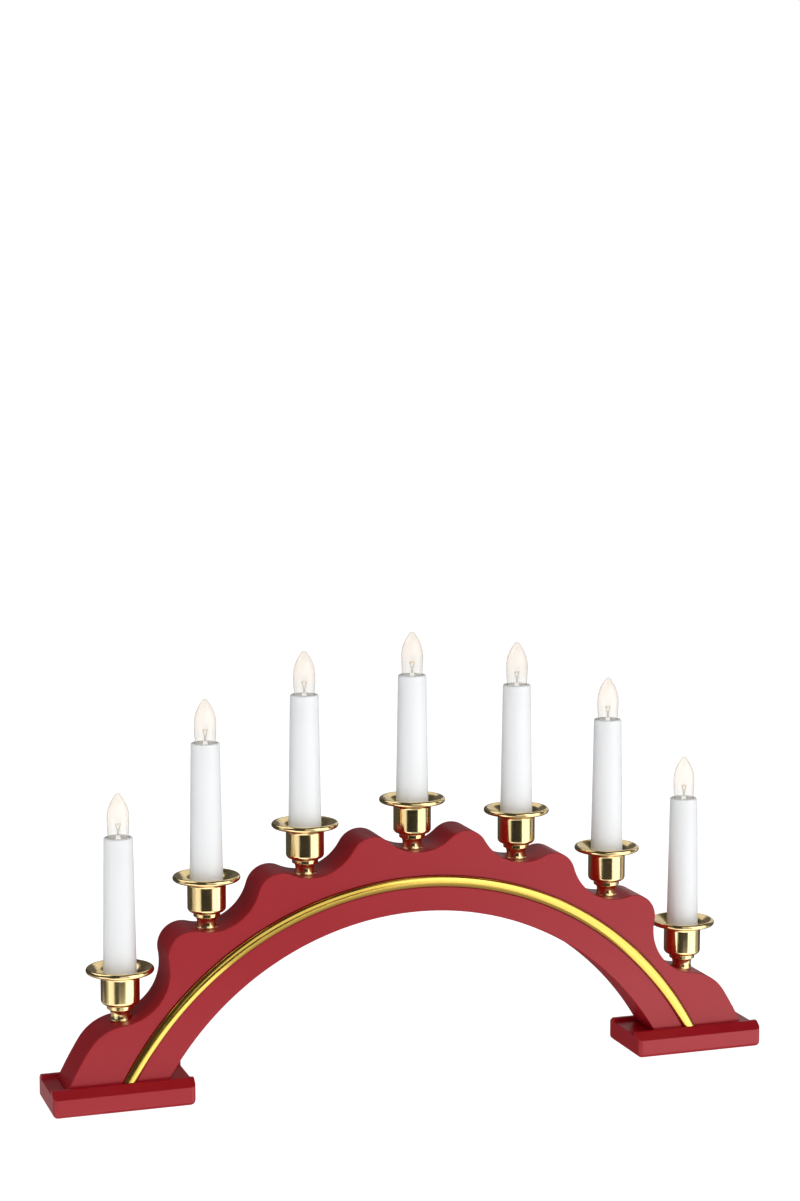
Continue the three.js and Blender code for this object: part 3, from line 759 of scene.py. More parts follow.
def scallop_arcs():
    """The right half of the top edge from the middle out: each arc's centre, end and way."""
    centres = [Vector((x + shift, floor + SCALLOP_RADIUS))
               for x, shift, floor in zip(LIGHT_X, SCALLOP_SHIFT, SCALLOP_FLOOR)]
    arcs = []
    reach = SCALLOP_RADIUS + HUMP_RADIUS
    for here, there in zip(centres, centres[1:]):
        hump = between(here, reach, there, reach, 1)
        arcs.append((here, here.lerp(hump, SCALLOP_RADIUS / reach), False))
        arcs.append((hump, there.lerp(hump, SCALLOP_RADIUS / reach), True))
    last = centres[-1]
    outer_centre, outer_radius = arc_through(OUTER_APEX, OUTER_HALF_SPAN)
    reach = SCALLOP_RADIUS + SHOULDER_RADIUS
    inside = outer_radius - SHOULDER_RADIUS
    shoulder = between(last, reach, outer_centre, inside, -1)
    arcs.append((last, last.lerp(shoulder, SCALLOP_RADIUS / reach), False))
    arcs.append((shoulder, outer_centre.lerp(shoulder, outer_radius / inside), True))
    arcs.append((outer_centre, at_height(outer_centre, outer_radius, LEG_BOTTOM), True))
    return arcs


print("Arcs in the right half of the top edge:", len(scallop_arcs()))

# %% [markdown]
# ## Sawing the arch
#
# The pen spins along the chain of arcs, up the left side, down the right side and back along the
# underside. The outline is filled and extruded to the board's thickness, and a bevel softens its edges
# as sanding and paint do.

# %% Arch outline
def mirrored(point):
    """The same point on the left half."""
    return Vector((-point.x, point.y))


def draw_arch():
    """The whole outline: up the left side, down the right side and back along the underside."""
    arcs = scallop_arcs()
    start = Vector((0, SCALLOP_FLOOR[0]))
    inner_centre, inner_radius = arc_through(INNER_APEX, INNER_HALF_SPAN)
    inner_right = at_height(inner_centre, inner_radius, LEG_BOTTOM)
    ends = [start] + [end for _, end, _ in arcs]
    left_end = mirrored(ends[-1])
    pen = Pen("painted_arch", *left_end, y=BOARD_FRONT)
    for (centre, _, clockwise), before in zip(reversed(arcs), reversed(ends[:-1])):
        pen.arc(mirrored(centre), mirrored(before), clockwise)
    for centre, end, clockwise in arcs:
        pen.arc(centre, end, clockwise)
    pen.line(*inner_right)
    pen.arc(inner_centre, mirrored(inner_right))
    return pen.board(BOARD_BACK - BOARD_FRONT)


arch = draw_arch()
soften(arch, ARCH_EDGE)
print("Arch:", len(arch.data.polygons), "faces")

# %% [markdown]
# ## Curved strips
#
# The moulding lies in a groove in the front, and a strip at the back closes the channel for the wires.
# All of them are rings about one centre. A straight strip could be bent, but spinning a small section
# along the arc gives the exact radius, both for the pieces and for the cutters of their grooves.

# %% Groove sizes
MOULDING_APEX, MOULDING_HALF_SPAN = 120.8, 178.6
MOULDING_WIDTH = 7.0
MOULDING_GROOVE = 2.0
CHANNEL_OFFSET = 1.5
CHANNEL_ABOVE_FEET = 7.4
COVER_WIDTH = 12.4
COVER_THICKNESS = 3.0
RING_STEPS = 180
moulding_centre, moulding_radius = arc_through(MOULDING_APEX, MOULDING_HALF_SPAN)
channel_radius = moulding_radius + CHANNEL_OFFSET
print("Radius of the moulding and of the channel:", round(moulding_radius, 1), round(channel_radius, 1))


def half_angle_at(radius, height):
    """The angle from upright at which a circle about the moulding's centre crosses a height."""
    return math.acos((height - moulding_centre.y) / radius)


def swept(section, radius, half_angle):
    """Sweeps a section, drawn across in x and deep in z, along a ring about the moulding's centre."""
    section.face()
    bpy.ops.object.mode_set(mode="OBJECT")
    centre = Vector((0, 0, moulding_centre.y)) * MM
    crown = Vector((0, 0, moulding_centre.y + radius)) * MM
    settle(section.piece, (-math.pi / 2, -math.pi / 2, 0), crown)
    bpy.ops.object.mode_set(mode="EDIT")
    bpy.ops.mesh.select_all(action="SELECT")
    bpy.ops.transform.rotate(value=-half_angle, orient_axis="Y", center_override=centre)
    bpy.ops.mesh.spin(steps=RING_STEPS, angle=2 * half_angle, center=centre, axis=(0, 1, 0))
    return section.finish()


def ring_strip(name, radius, width, front, back, half_angle):
    """A curved strip with a rectangular section."""
    half = width / 2
    section = Pen(name, -half, front)
    section.line(half, front).line(half, back).line(-half, back)
    strip = swept(section, radius, half_angle)
    print(name, "is", round(strip.dimensions.x / MM, 1), "mm long and", len(strip.data.polygons), "faces")
    return strip


# %% [markdown]
# ## Grooves and holes in the arch
#
# A router cuts the groove and the rebate, and a drill faces a round flat under each stem and bores the
# hole for its tenon. Here each tool is a cutter of the same shape, which a Boolean takes out of the
# arch. The holes could be drawn into the outline only if they went right through, and these don't.

# %% Cut the grooves
STEM_FOOT = 13.0
STEM_TENON = 8.0
TENON_LENGTH = 12.0
SPOT_FACE_REACH = 12.0
DRILL_SIDES = 64


def seat_height(light):
    """Height of the flat that a stem stands on, in millimetres."""
    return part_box(f"cup_stem_{light}")[0].z / MM + TENON_LENGTH - CLEARANCE


def upright_bar(name, x, bottom, top, diameter):
    """A round bar on an upright axis, as a drill cuts it."""
    bpy.ops.object.select_all(action="DESELECT")
    middle = Vector((x, 0, (bottom + top) / 2)) * MM
    bpy.ops.mesh.primitive_cylinder_add(vertices=DRILL_SIDES, radius=diameter / 2 * MM,
                                        depth=(top - bottom) * MM, location=middle)
    bpy.ops.object.transform_apply(location=True, rotation=False, scale=False)
    bpy.context.object.name = name
    return bpy.context.object


groove_angle = half_angle_at(moulding_radius, 0)
cover_angle = half_angle_at(channel_radius, FOOT_TOP + CHANNEL_ABOVE_FEET)
rebate_angle = cover_angle + CLEARANCE / channel_radius
groove = ring_strip("groove_cutter", moulding_radius, MOULDING_WIDTH + 2 * CLEARANCE,
                    BOARD_FRONT - MOULDING_GROOVE, BOARD_FRONT + MOULDING_GROOVE, groove_angle)
rebate = ring_strip("rebate_cutter", channel_radius, COVER_WIDTH + 2 * CLEARANCE,
                    BOARD_BACK - COVER_THICKNESS - CLEARANCE, BOARD_BACK + COVER_THICKNESS, rebate_angle)
carve(arch, groove, rebate)
for light in LIGHTS:
    x, seat = axis_of(f"cup_stem_{light}"), seat_height(light)
    spot = upright_bar("spot_cutter", x, seat, seat + SPOT_FACE_REACH, STEM_FOOT + 2 * CLEARANCE)
    hole = upright_bar("tenon_cutter", x, seat - TENON_LENGTH, seat + CLEARANCE,
                       STEM_TENON + 2 * CLEARANCE)
    carve(arch, spot, hole)
smooth(arch)
dress(arch, FINISHES["red_paint"], "stand", "red_paint", "arch_body")

# %% [markdown]
# ## The rear cover
#
# The cover is a thin painted strip that closes the wires' channel, a little narrower than its rebate
# and flush with the back. It is swept like its cutter, and a hole is bored through it for the bush.
# The drill is made upright and laid on its side, which is easier than drawing it lying.

# %% Rear cover
COVER_EDGE = 0.4
INLET_BORE, INLET_WALL = 4.6, 1.4
bush_low, bush_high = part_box("cord_inlet_bush")
bush_middle = (bush_low + bush_high) / 2
inlet_x, inlet_z = bush_middle.x / MM, bush_middle.z / MM
ON_SIDE = (-math.pi / 2, 0, 0)

cover = ring_strip("painted_rear_cover", channel_radius, COVER_WIDTH,
                   BOARD_BACK - COVER_THICKNESS, BOARD_BACK, cover_angle)
soften(cover, COVER_EDGE)
inlet_hole = upright_bar("inlet_cutter", 0, -COVER_THICKNESS, COVER_THICKNESS,
                         INLET_BORE + 2 * INLET_WALL + 2 * CLEARANCE)
inlet_place = Vector((inlet_x, BOARD_BACK - COVER_THICKNESS / 2, inlet_z)) * MM
carve(cover, settle(inlet_hole, ON_SIDE, inlet_place))
smooth(cover)
dress(cover, FINISHES["red_paint"], "stand", "red_paint", "rear_cover")
print("Rear cover bored at x", round(inlet_x, 1), "z", round(inlet_z, 1))

# %% [markdown]
# ## The cord's bush
#
# The bush is a round plastic grommet with a flange, so it is turned from a profile. A pipe with a ring
# added to it would show a seam. It is drawn upright at the origin, turned, laid on its side and moved
# to the place that its CAD node gives.

# %% Cord bush
INLET_FLANGE, INLET_FLANGE_THICKNESS = 10.4, 1.5
FLANGE_ROUNDING = 0.9
MOUTH_ROUNDING = 0.8
SMALL_TURNED_SIDES = 48


def draw_bush():
    """A flanged sleeve, from its inner end at height 0 to the rounded face of its flange."""
    length = (bush_high.y - bush_low.y) / MM
    bore, barrel, flange = INLET_BORE / 2, INLET_BORE / 2 + INLET_WALL, INLET_FLANGE / 2
    under = length - INLET_FLANGE_THICKNESS
    pen = Pen("cord_bush", bore, 0)
    pen.line(barrel, 0).line(barrel, under).line(flange, under)
    pen.corner(flange, length, FLANGE_ROUNDING, bore, length)
    pen.corner(bore, length, MOUTH_ROUNDING, bore, 0)
    pen.line(bore, 0)
    return pen.turned(SMALL_TURNED_SIDES)


bush = smooth(settle(draw_bush(), ON_SIDE, Vector((inlet_x, bush_low.y / MM, inlet_z)) * MM))
dress(bush, FINISHES["wire_jacket"], "stand", "wire_jacket", "cord_inlet_bush")

# %% [markdown]
# ## The feet
#
# Each foot is a planed length with one section: chamfered upper edges, a flat rim and a channel that
# the leg stands in. A box could be cut three times, but a planer gives the whole section at once, so
# the section is drawn once, in depth and height, and extruded along the foot. One bevel rounds the
# edges round the bottom and up the four corners, so that they meet in round corners, and a finer one
# takes the sharpness off the rest, as paint does.

# %% Feet
FOOT_CHANNEL_DEPTH = 2.5
FOOT_RIM = 2.45
FOOT_CHAMFER_HEIGHT = 4.2
FOOT_ROUNDING = 3.0
FOOT_ROUNDING_STEPS = 6
FOOT_EDGE = 0.3
FOOT_EDGE_ANGLE = 30
channel_half = (BOARD_BACK - BOARD_FRONT) / 2 + CLEARANCE


def round_lower_edges(foot, shoulder):
    """Rounds the edges round the bottom and up the four corners, which are found by their place."""
    near = 2 * MERGE_DISTANCE
    pick(foot)
    bpy.ops.object.mode_set(mode="EDIT")
    bpy.ops.mesh.select_mode(type="EDGE")
    bpy.ops.mesh.select_all(action="DESELECT")
    bpy.ops.object.mode_set(mode="OBJECT")
    for edge in foot.data.edges:
        a, b = (foot.data.vertices[index].co for index in edge.vertices)
        on_bottom = max(a.z, b.z) < near
        upright = (a - b).xy.length < near and max(a.z, b.z) < shoulder * MM + near
        edge.select = on_bottom or upright
    bpy.ops.object.mode_set(mode="EDIT")
    bpy.ops.mesh.bevel(offset=FOOT_ROUNDING * MM, segments=FOOT_ROUNDING_STEPS)
    bpy.ops.mesh.select_mode(type="VERT")
    bpy.ops.object.mode_set(mode="OBJECT")


def draw_foot(name, node):
    """The section, extruded along the foot, turned to lie in x and rounded."""
    low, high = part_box(node)
    half = high.y / MM
    top, floor = FOOT_TOP, FOOT_TOP - FOOT_CHANNEL_DEPTH
    shoulder = top - FOOT_CHAMFER_HEIGHT
    pen = Pen(name, -half, 0)
    pen.line(half, 0).line(half, shoulder)
    pen.line(channel_half + FOOT_RIM, top).line(channel_half, top)
    pen.line(channel_half, floor).line(-channel_half, floor).line(-channel_half, top)
    pen.line(-channel_half - FOOT_RIM, top).line(-half, shoulder)
    foot = pen.board((high.x - low.x) / MM)
    settle(foot, (0, 0, -math.pi / 2), (low.x, 0, 0))
    round_lower_edges(foot, shoulder)
    soften(foot, FOOT_EDGE, FOOT_EDGE_ANGLE)
    smooth(foot)
    dress(foot, FINISHES["red_paint"], "stand", "red_paint", node)


draw_foot("painted_foot_left", "foot_left")
draw_foot("painted_foot_right", "foot_right")

# %% [markdown]
# ## The gilt moulding
#
# A half-round strip with its flat back in the groove. A bevelled curve would give a round wire, so its
# own section is swept along the arc instead, past the feet, and bisected level just above them, as the
# strip is cut off. The cut ends are filled.

# %% Moulding
MOULDING_PROUD = 2.5
MOULDING_SECTION_STEPS = 24
MOULDING_SMOOTH = 30
BISECT_REACH = 1e-7


def draw_moulding():
    """The half-round section, swept past the feet and bisected level above them."""
    half = MOULDING_WIDTH / 2
    back = BOARD_FRONT + MOULDING_GROOVE - CLEARANCE
    section = Pen("gilt_moulding", -half, back)
    for step in range(MOULDING_SECTION_STEPS + 1):
        angle = math.pi * step / MOULDING_SECTION_STEPS
        section.line(-half * math.cos(angle), BOARD_FRONT - MOULDING_PROUD * math.sin(angle))
    section.line(half, back)
    strip = swept(section, moulding_radius, groove_angle)
    pick(strip)
    bpy.ops.object.mode_set(mode="EDIT")
    bpy.ops.mesh.select_all(action="SELECT")
    level = Vector((0, 0, FOOT_TOP + CLEARANCE)) * MM
    bpy.ops.mesh.bisect(plane_co=level, plane_no=(0, 0, 1), use_fill=True, clear_inner=True,
                        threshold=BISECT_REACH)
    return section.finish()


moulding = smooth(draw_moulding(), MOULDING_SMOOTH)
dress(moulding, FINISHES["gilt"], "stand", "gilt", "gold_moulding")
print("Moulding:", [round(x / MM, 1) for x in (*moulding.bound_box[0], *moulding.bound_box[6])])

# %% [markdown]
# ## Stems
#
# A stem is turned brass: a tenon in the arch, a small foot, a hollow neck, a ring under the cup and a
# spigot in the candle, with a bore for the wires. Stacked cylinders would show a seam at every step,
# so its profile is drawn once and spun. It is modelled with its foot at height 0 and copied to the
# seven lights later.

# %% Stem
STEM_FOOT_HEIGHT = 1.0
STEM_FOOT_RIM = 0.5
STEM_NECK = 11.6
STEM_NECK_HEIGHT = 5.5
STEM_NECK_AT = 0.4
STEM_RING = 15.8
STEM_RING_HEIGHT = 2.5
STEM_SPIGOT = 11.2
STEM_SPIGOT_HEIGHT = 15.0
STEM_BORE = 5.0
STEM_EDGE = 0.45
HOLLOW_STEPS = 9
TURNED_SIDES = 72
stem_ring_top = STEM_FOOT_HEIGHT + STEM_NECK_HEIGHT + STEM_RING_HEIGHT


def hollow(x_low, z_low, x_neck, z_neck, x_high, z_high):
    """Points of a turner's hollow: two quarter ellipses that meet upright at the neck."""
    points = []
    for step in range(1, HOLLOW_STEPS + 1):
        angle = math.pi / 2 * step / HOLLOW_STEPS
        points.append((x_low + (x_neck - x_low) * math.sin(angle),
                       z_neck - (z_neck - z_low) * math.cos(angle)))
    for step in range(1, HOLLOW_STEPS + 1):
        angle = math.pi / 2 * step / HOLLOW_STEPS
        points.append((x_high + (x_neck - x_high) * math.cos(angle),
                       z_neck + (z_high - z_neck) * math.sin(angle)))
    return points


def draw_stem():
    """Up the outside from the tenon to the spigot, and back down the bore."""
    bore, tenon, foot = STEM_BORE / 2, STEM_TENON / 2, STEM_FOOT / 2
    neck, ring, spigot = STEM_NECK / 2, STEM_RING / 2, STEM_SPIGOT / 2
    neck_top = STEM_FOOT_HEIGHT + STEM_NECK_HEIGHT
    neck_middle = STEM_FOOT_HEIGHT + STEM_NECK_HEIGHT * STEM_NECK_AT
    top = stem_ring_top + STEM_SPIGOT_HEIGHT
    rim = STEM_FOOT_RIM / 2
    pen = Pen("stem_pattern", bore, -TENON_LENGTH)
    pen.line(tenon, -TENON_LENGTH).line(tenon, 0).line(foot - rim, 0)
    pen.arc((foot - rim, rim), (foot - rim, 2 * rim))
    pen.lines(hollow(foot - rim, 2 * rim, neck, neck_middle, ring - STEM_EDGE, neck_top))
    pen.arc((ring - STEM_EDGE, neck_top + STEM_EDGE), (ring, neck_top + STEM_EDGE))
    pen.line(ring, stem_ring_top - STEM_EDGE)
    pen.arc((ring - STEM_EDGE, stem_ring_top - STEM_EDGE), (ring - STEM_EDGE, stem_ring_top))
    pen.line(spigot, stem_ring_top).line(spigot, top).line(bore, top).line(bore, -TENON_LENGTH)
    return pen.turned(TURNED_SIDES)


stem_pattern = smooth(draw_stem())

# %% [markdown]
# ## Drip cups
#
# A drip cup is spun from brass sheet: a barrel with a round lower corner, and a dish that flares like
# a trumpet and ends in a rolled lip. The sheet could be one surface with a Solidify modifier, but the
# lip is thicker than the wall, so both sides are drawn in one closed profile.

# %% Drip cup
CUP_DIAMETER = 22.8
CUP_WALL = 1.0
CUP_RIM = 40.0
CUP_LIP = 3.3
CUP_LIP_HEIGHT = 20.35
CUP_CORNER = 2.6
CUP_THROAT = 2.0
CUP_SIDES = 96
DISH_SLOPE = math.radians(32)
DISH_TURN = math.radians(24)
DISH_SHARE = 0.8
cup_base = stem_ring_top + CLEARANCE


def draw_cup():
    """Up the outside of the barrel, under the dish, round the lip, and back down the inside."""
    base = cup_base
    barrel, hole = CUP_DIAMETER / 2, STEM_SPIGOT / 2 + CLEARANCE
    inside = barrel - CUP_WALL
    lip = CUP_LIP / 2
    bead = Vector((CUP_RIM / 2 - lip, base + CUP_LIP_HEIGHT))
    across = Vector((-math.sin(DISH_SLOPE), math.cos(DISH_SLOPE)))
    down = Vector((-math.cos(DISH_SLOPE), -math.sin(DISH_SLOPE)))
    dish_top = bead + across * lip
    under = dish_top - across * CUP_WALL
    throat_inside = dish_top + down * ((dish_top.x - inside) / -down.x)
    throat_outside = under + down * ((under.x - barrel) / -down.x)
    sunk = lip - CUP_WALL
    lip_start = bead + across * sunk + down * math.sqrt(lip**2 - sunk**2)
    pen = Pen("cup_pattern", hole, base)
    pen.corner(barrel, base, CUP_CORNER, barrel, throat_outside.y)
    pen.corner(*throat_outside, CUP_THROAT, *lip_start)
    pen.line(*lip_start)
    pen.arc(bead, dish_top)
    chord = throat_inside - dish_top
    bell_end = dish_top + chord * DISH_SHARE
    bell_middle = dish_top + chord * (DISH_SHARE / 2)
    bell_centre = bell_middle - across * (chord.length * DISH_SHARE / 2 / math.tan(DISH_TURN / 2))
    pen.arc(bell_centre, bell_end)
    pen.corner(*throat_inside, CUP_THROAT, inside, base)
    pen.corner(inside, base + CUP_WALL, CUP_CORNER - CUP_WALL, hole, base + CUP_WALL)
    pen.line(hole, base + CUP_WALL).line(hole, base)
    return pen.turned(CUP_SIDES)


cup_pattern = smooth(draw_cup())

# %% [markdown]
# ## Candles
#
# Each candle is a tapered plastic tube with a softly rounded top, pushed on the spigot to its own
# depth. A small lip in its mouth leaves only a narrow gap to the bulb's glass, so one can't see down
# into the tube. A cone could be hollowed by a Boolean, but a turned profile has the lip and the
# roundings in it. It is modelled from its foot upwards.

# %% Candle
CANDLE_LENGTH = 95.0
CANDLE_TOP = 17.0
CANDLE_TAPER = 3.1
CANDLE_MOUTH = 13.5
CANDLE_EDGE = 1.1
CANDLE_FOOT_EDGE = 0.5
CANDLE_MOUTH_EDGE = 0.4
CANDLE_LIP = 12.4
CANDLE_LIP_HEIGHT = 1.4
HOLDER_TOP = 3.0
HOLDER_HEIGHT = 13.0


def draw_candle():
    """Up the tapered outside, over the lip, and down the inside with a step for the lampholder."""
    bore = STEM_SPIGOT / 2 + CLEARANCE
    mouth, lip, top = CANDLE_MOUTH / 2, CANDLE_LIP / 2, CANDLE_TOP / 2
    foot = top + CANDLE_TAPER / 2
    step = CANDLE_LENGTH - HOLDER_TOP - HOLDER_HEIGHT - CLEARANCE
    lip_bottom = CANDLE_LENGTH - CANDLE_LIP_HEIGHT
    pen = Pen("candle_pattern", bore, 0)
    pen.corner(foot, 0, CANDLE_FOOT_EDGE, top, CANDLE_LENGTH)
    pen.corner(top, CANDLE_LENGTH, CANDLE_EDGE, lip, CANDLE_LENGTH)
    pen.corner(lip, CANDLE_LENGTH, CANDLE_MOUTH_EDGE, lip, lip_bottom)
    pen.line(lip, lip_bottom).line(mouth, lip_bottom + lip - mouth)
    pen.line(mouth, step).line(bore, step).line(bore, 0)
    return pen.turned(TURNED_SIDES)


candle_pattern = smooth(draw_candle())

# %% [markdown]
# ## Lampholders
#
# Inside the candle's head sits a small lampholder that the bulb screws into: a plastic cup with a tail
# for the wires. Only its rim can be seen, past the bulb. Its CAD solid could stay, but with sharp edges,
# so it is turned from a plain profile with rounded ones.

# %% Lampholder
HOLDER_FLOOR = 2.0
HOLDER_TAIL = 2.0
HOLDER_TAIL_DIAMETER = 8.0
HOLDER_EDGE = 0.5
HOLDER_MOUTH_EDGE = 0.4
CAP_DIAMETER = 9.3


def draw_holder():
    """Up the outside from the tail, and down into the cup that takes the bulb's cap."""
    outside, bore = CANDLE_MOUTH / 2 - CLEARANCE, CAP_DIAMETER / 2 + CLEARANCE
    tail = HOLDER_TAIL_DIAMETER / 2
    bottom = CANDLE_LENGTH - HOLDER_TOP - HOLDER_HEIGHT
    top, floor = bottom + HOLDER_HEIGHT, bottom + HOLDER_FLOOR
    pen = Pen("holder_pattern", 0, bottom - HOLDER_TAIL)
    pen.line(tail, bottom - HOLDER_TAIL).line(tail, bottom).line(outside, bottom)
    pen.corner(outside, top, HOLDER_EDGE, bore, top)
    pen.corner(bore, top, HOLDER_MOUTH_EDGE, bore, floor)
    pen.line(bore, floor).line(0, floor)
    return pen.turned(SMALL_TURNED_SIDES)


holder_pattern = smooth(draw_holder())

# %% [markdown]
# ## The bulb's glass
#
# The glass is blown: it swells from a narrow seat to a full belly, and is drawn out to a small rounded
# tip. A stretched ball would be too round, so its side is a smooth curve that a few control points
# pull, with an arc at the tip. The shell has an inner and an outer wall, so that light bends in it as
# in the real one. The bulb is modelled with the candle's top at height 0.

# %% Bulb glass
CAP_TOP = -2.8
GLASS_DIAMETER = 13.0
GLASS_TIP = 25.8
GLASS_WALL = 0.5
GLASS_SEAT_DIAMETER = 9.0
GLASS_BELLY = 11.0
GLASS_FULLNESS = 0.45
GLASS_NOSE = 1.8
NOSE_ANGLE = math.radians(35)
NOSE_REACH = 4.2
NOSE_STEPS = 6
GLASS_STEPS = 22
GLASS_SIDES = 64
ROUND_SMOOTH = 60
glass_seat = CAP_TOP + CLEARANCE


def curve_points(controls, steps):
    """Points on a curve that control points pull, without its first point."""
    points = []
    for step in range(1, steps + 1):
        level = list(controls)
        while len(level) > 1:
            level = [a.lerp(b, step / steps) for a, b in zip(level, level[1:])]
        points.append(level[0])
    return points


def glass_side(offset):
    """Points up the side of the glass, moved inwards by an offset: a full belly, then a drawn-out tip."""
    belly, seat = GLASS_DIAMETER / 2 - offset, GLASS_SEAT_DIAMETER / 2 - offset
    nose, tip = GLASS_NOSE - offset, GLASS_TIP - offset
    start, widest = Vector((seat, glass_seat)), Vector((belly, GLASS_BELLY))
    full = Vector((belly, GLASS_BELLY + GLASS_FULLNESS * (tip - GLASS_BELLY)))
    join = Vector((nose * math.cos(NOSE_ANGLE), tip - nose * (1 - math.sin(NOSE_ANGLE))))
    before = join + NOSE_REACH * Vector((math.sin(NOSE_ANGLE), -math.cos(NOSE_ANGLE)))
    points = [start]
    points += curve_points([start, Vector((belly, glass_seat)), widest], GLASS_STEPS)
    points += curve_points([widest, full, before, join], GLASS_STEPS)
    for step in range(1, NOSE_STEPS + 1):
        angle = NOSE_ANGLE + (math.pi / 2 - NOSE_ANGLE) * step / NOSE_STEPS
        points.append(Vector((nose * math.cos(angle), tip - nose + nose * math.sin(angle))))
    return points


def draw_glass():
    """Down the inner wall from the tip, and up the outer one."""
    outside, inside = glass_side(0), glass_side(GLASS_WALL)
    pen = Pen("glass_pattern", *inside[-1])
    pen.lines(reversed(inside[:-1]))
    pen.lines(outside)
    return pen.turned(GLASS_SIDES)


def mark_height(piece):
    """Keeps each point's height in the bulb, from 0 at the seat to 1 at the tip, for the finish."""
    mark = piece.data.attributes.new("height_in_bulb", "FLOAT", "POINT")
    for vertex, kept in zip(piece.data.vertices, mark.data):
        kept.value = (vertex.co.z / MM - glass_seat) / (GLASS_TIP - glass_seat)


glass_pattern = smooth(draw_glass(), ROUND_SMOOTH)
mark_height(glass_pattern)

# %% [markdown]
# ## The bulb's cap
#
# The cap is thin plated sheet with a rolled screw thread and a small contact at its foot. Its body is
# turned. Rings would look like a thread at first sight, but a screw climbs: a round ridge is wound up
# the body by the Screw modifier, and a Boolean joins the two. The modifier leaves the ridge's ends
# open, so they are filled.

# %% Bulb cap
CAP_HEIGHT = 9.4
CAP_SHOULDER = 0.3
CAP_EDGE = 0.5
CAP_TOP_EDGE = 0.3
CONTACT_HEIGHT = 1.4
CONTACT_DIAMETER = 4.4
CONTACT_FLARE = 0.4
THREAD_PITCH = 1.814
THREAD_DEPTH = 0.4
THREAD_TURNS = 4
THREAD_SHARE = 0.72
THREAD_START = 1.0
THREAD_SUNK = 0.25
RIDGE_STEPS = 8
STEPS_IN_TURN = 40
cap_core = CAP_DIAMETER / 2 - THREAD_DEPTH
cap_bottom = CAP_TOP - CAP_HEIGHT


def close_ends(piece):
    """Welds points that lie on each other, fills open ends and turns the faces outwards."""
    pick(piece)
    bpy.ops.object.mode_set(mode="EDIT")
    bpy.ops.mesh.select_all(action="SELECT")
    bpy.ops.mesh.remove_doubles(threshold=MERGE_DISTANCE)
    bpy.ops.mesh.fill_holes(sides=0)
    bpy.ops.mesh.normals_make_consistent(inside=False)
    bpy.ops.object.mode_set(mode="OBJECT")


def draw_cap():
    """The cap's plain body, from its contact to its flat top under the glass."""
    contact = CONTACT_DIAMETER / 2
    pen = Pen("cap_pattern", 0, cap_bottom - CONTACT_HEIGHT)
    pen.corner(contact, cap_bottom - CONTACT_HEIGHT, CAP_EDGE, contact + CONTACT_FLARE, cap_bottom)
    pen.line(contact + CONTACT_FLARE, cap_bottom)
    pen.corner(cap_core, cap_bottom + CAP_SHOULDER, CAP_EDGE, cap_core, CAP_TOP)
    pen.corner(cap_core, CAP_TOP, CAP_TOP_EDGE, 0, CAP_TOP)
    pen.line(0, CAP_TOP)
    return pen.turned(SMALL_TURNED_SIDES)


def draw_thread():
    """A round ridge that is wound up the cap, sunk a little into it."""
    low = cap_bottom + THREAD_START
    width = THREAD_PITCH * THREAD_SHARE
    pen = Pen("thread_pattern", cap_core - THREAD_SUNK, low)
    for step in range(RIDGE_STEPS + 1):
        angle = math.pi * step / RIDGE_STEPS
        pen.line(cap_core + THREAD_DEPTH * math.sin(angle), low + width * (1 - math.cos(angle)) / 2)
    pen.line(cap_core - THREAD_SUNK, low + width)
    pen.face()
    bpy.ops.object.mode_set(mode="OBJECT")
    apply_modifier(pen.piece, "SCREW", angle=2 * math.pi, screw_offset=THREAD_PITCH * MM,
                   iterations=THREAD_TURNS, steps=STEPS_IN_TURN, render_steps=STEPS_IN_TURN,
                   use_normal_calculate=True)
    close_ends(pen.piece)
    return pen.piece


cap_pattern = draw_cap()
thread = draw_thread()
apply_modifier(cap_pattern, "BOOLEAN", operation="UNION", solver="EXACT", object=thread)
bpy.data.objects.remove(thread)
close_ends(cap_pattern)
smooth(cap_pattern)

# %% [markdown]
# ## The bead and the mount
#
# A pressed glass mount closes the bulb's foot and holds the two leads, and a glass bead higher up
# keeps them apart. Both are small and round about the bulb's axis. A flattened ball would do for the
# bead, but turning both keeps one way of working, and leaves no poles to close.

# %% Bead and mount
BEAD_DIAMETER = 2.4
BEAD_HEIGHT = 1.3
BEAD_MIDDLE = 4.4
BEAD_STEPS = 12
BEAD_SIDES = 32
MOUNT_BASE = 7.6
MOUNT_NECK = 2.4
MOUNT_HEIGHT = 3.6
MOUNT_RIM = 0.5
mount_bottom = CAP_TOP + CLEARANCE / 3


def draw_bead():
    """The glass bead that holds the two leads apart, half way up to the filament."""
    pen = Pen("bead_pattern", 0, BEAD_MIDDLE - BEAD_HEIGHT / 2)
    for step in range(1, BEAD_STEPS + 1):
        angle = math.pi * step / BEAD_STEPS
        pen.line(BEAD_DIAMETER / 2 * math.sin(angle), BEAD_MIDDLE - BEAD_HEIGHT / 2 * math.cos(angle))
    return pen.turned(BEAD_SIDES)


def draw_mount():
    """The pressed glass foot in the bulb, which closes it and holds the leads."""
    base, neck = MOUNT_BASE / 2, MOUNT_NECK / 2
    rim, top = mount_bottom + MOUNT_RIM, mount_bottom + MOUNT_HEIGHT
    pen = Pen("mount_pattern", 0, mount_bottom)
    pen.line(base, mount_bottom).line(base, rim)
    flare = [Vector((base, rim)), Vector((neck, rim)), Vector((neck, top))]
    pen.lines(curve_points(flare, BEAD_STEPS))
    pen.line(0, top)
    return pen.turned(BEAD_SIDES)


bead_pattern = smooth(draw_bead(), ROUND_SMOOTH)
mount_pattern = smooth(draw_mount())

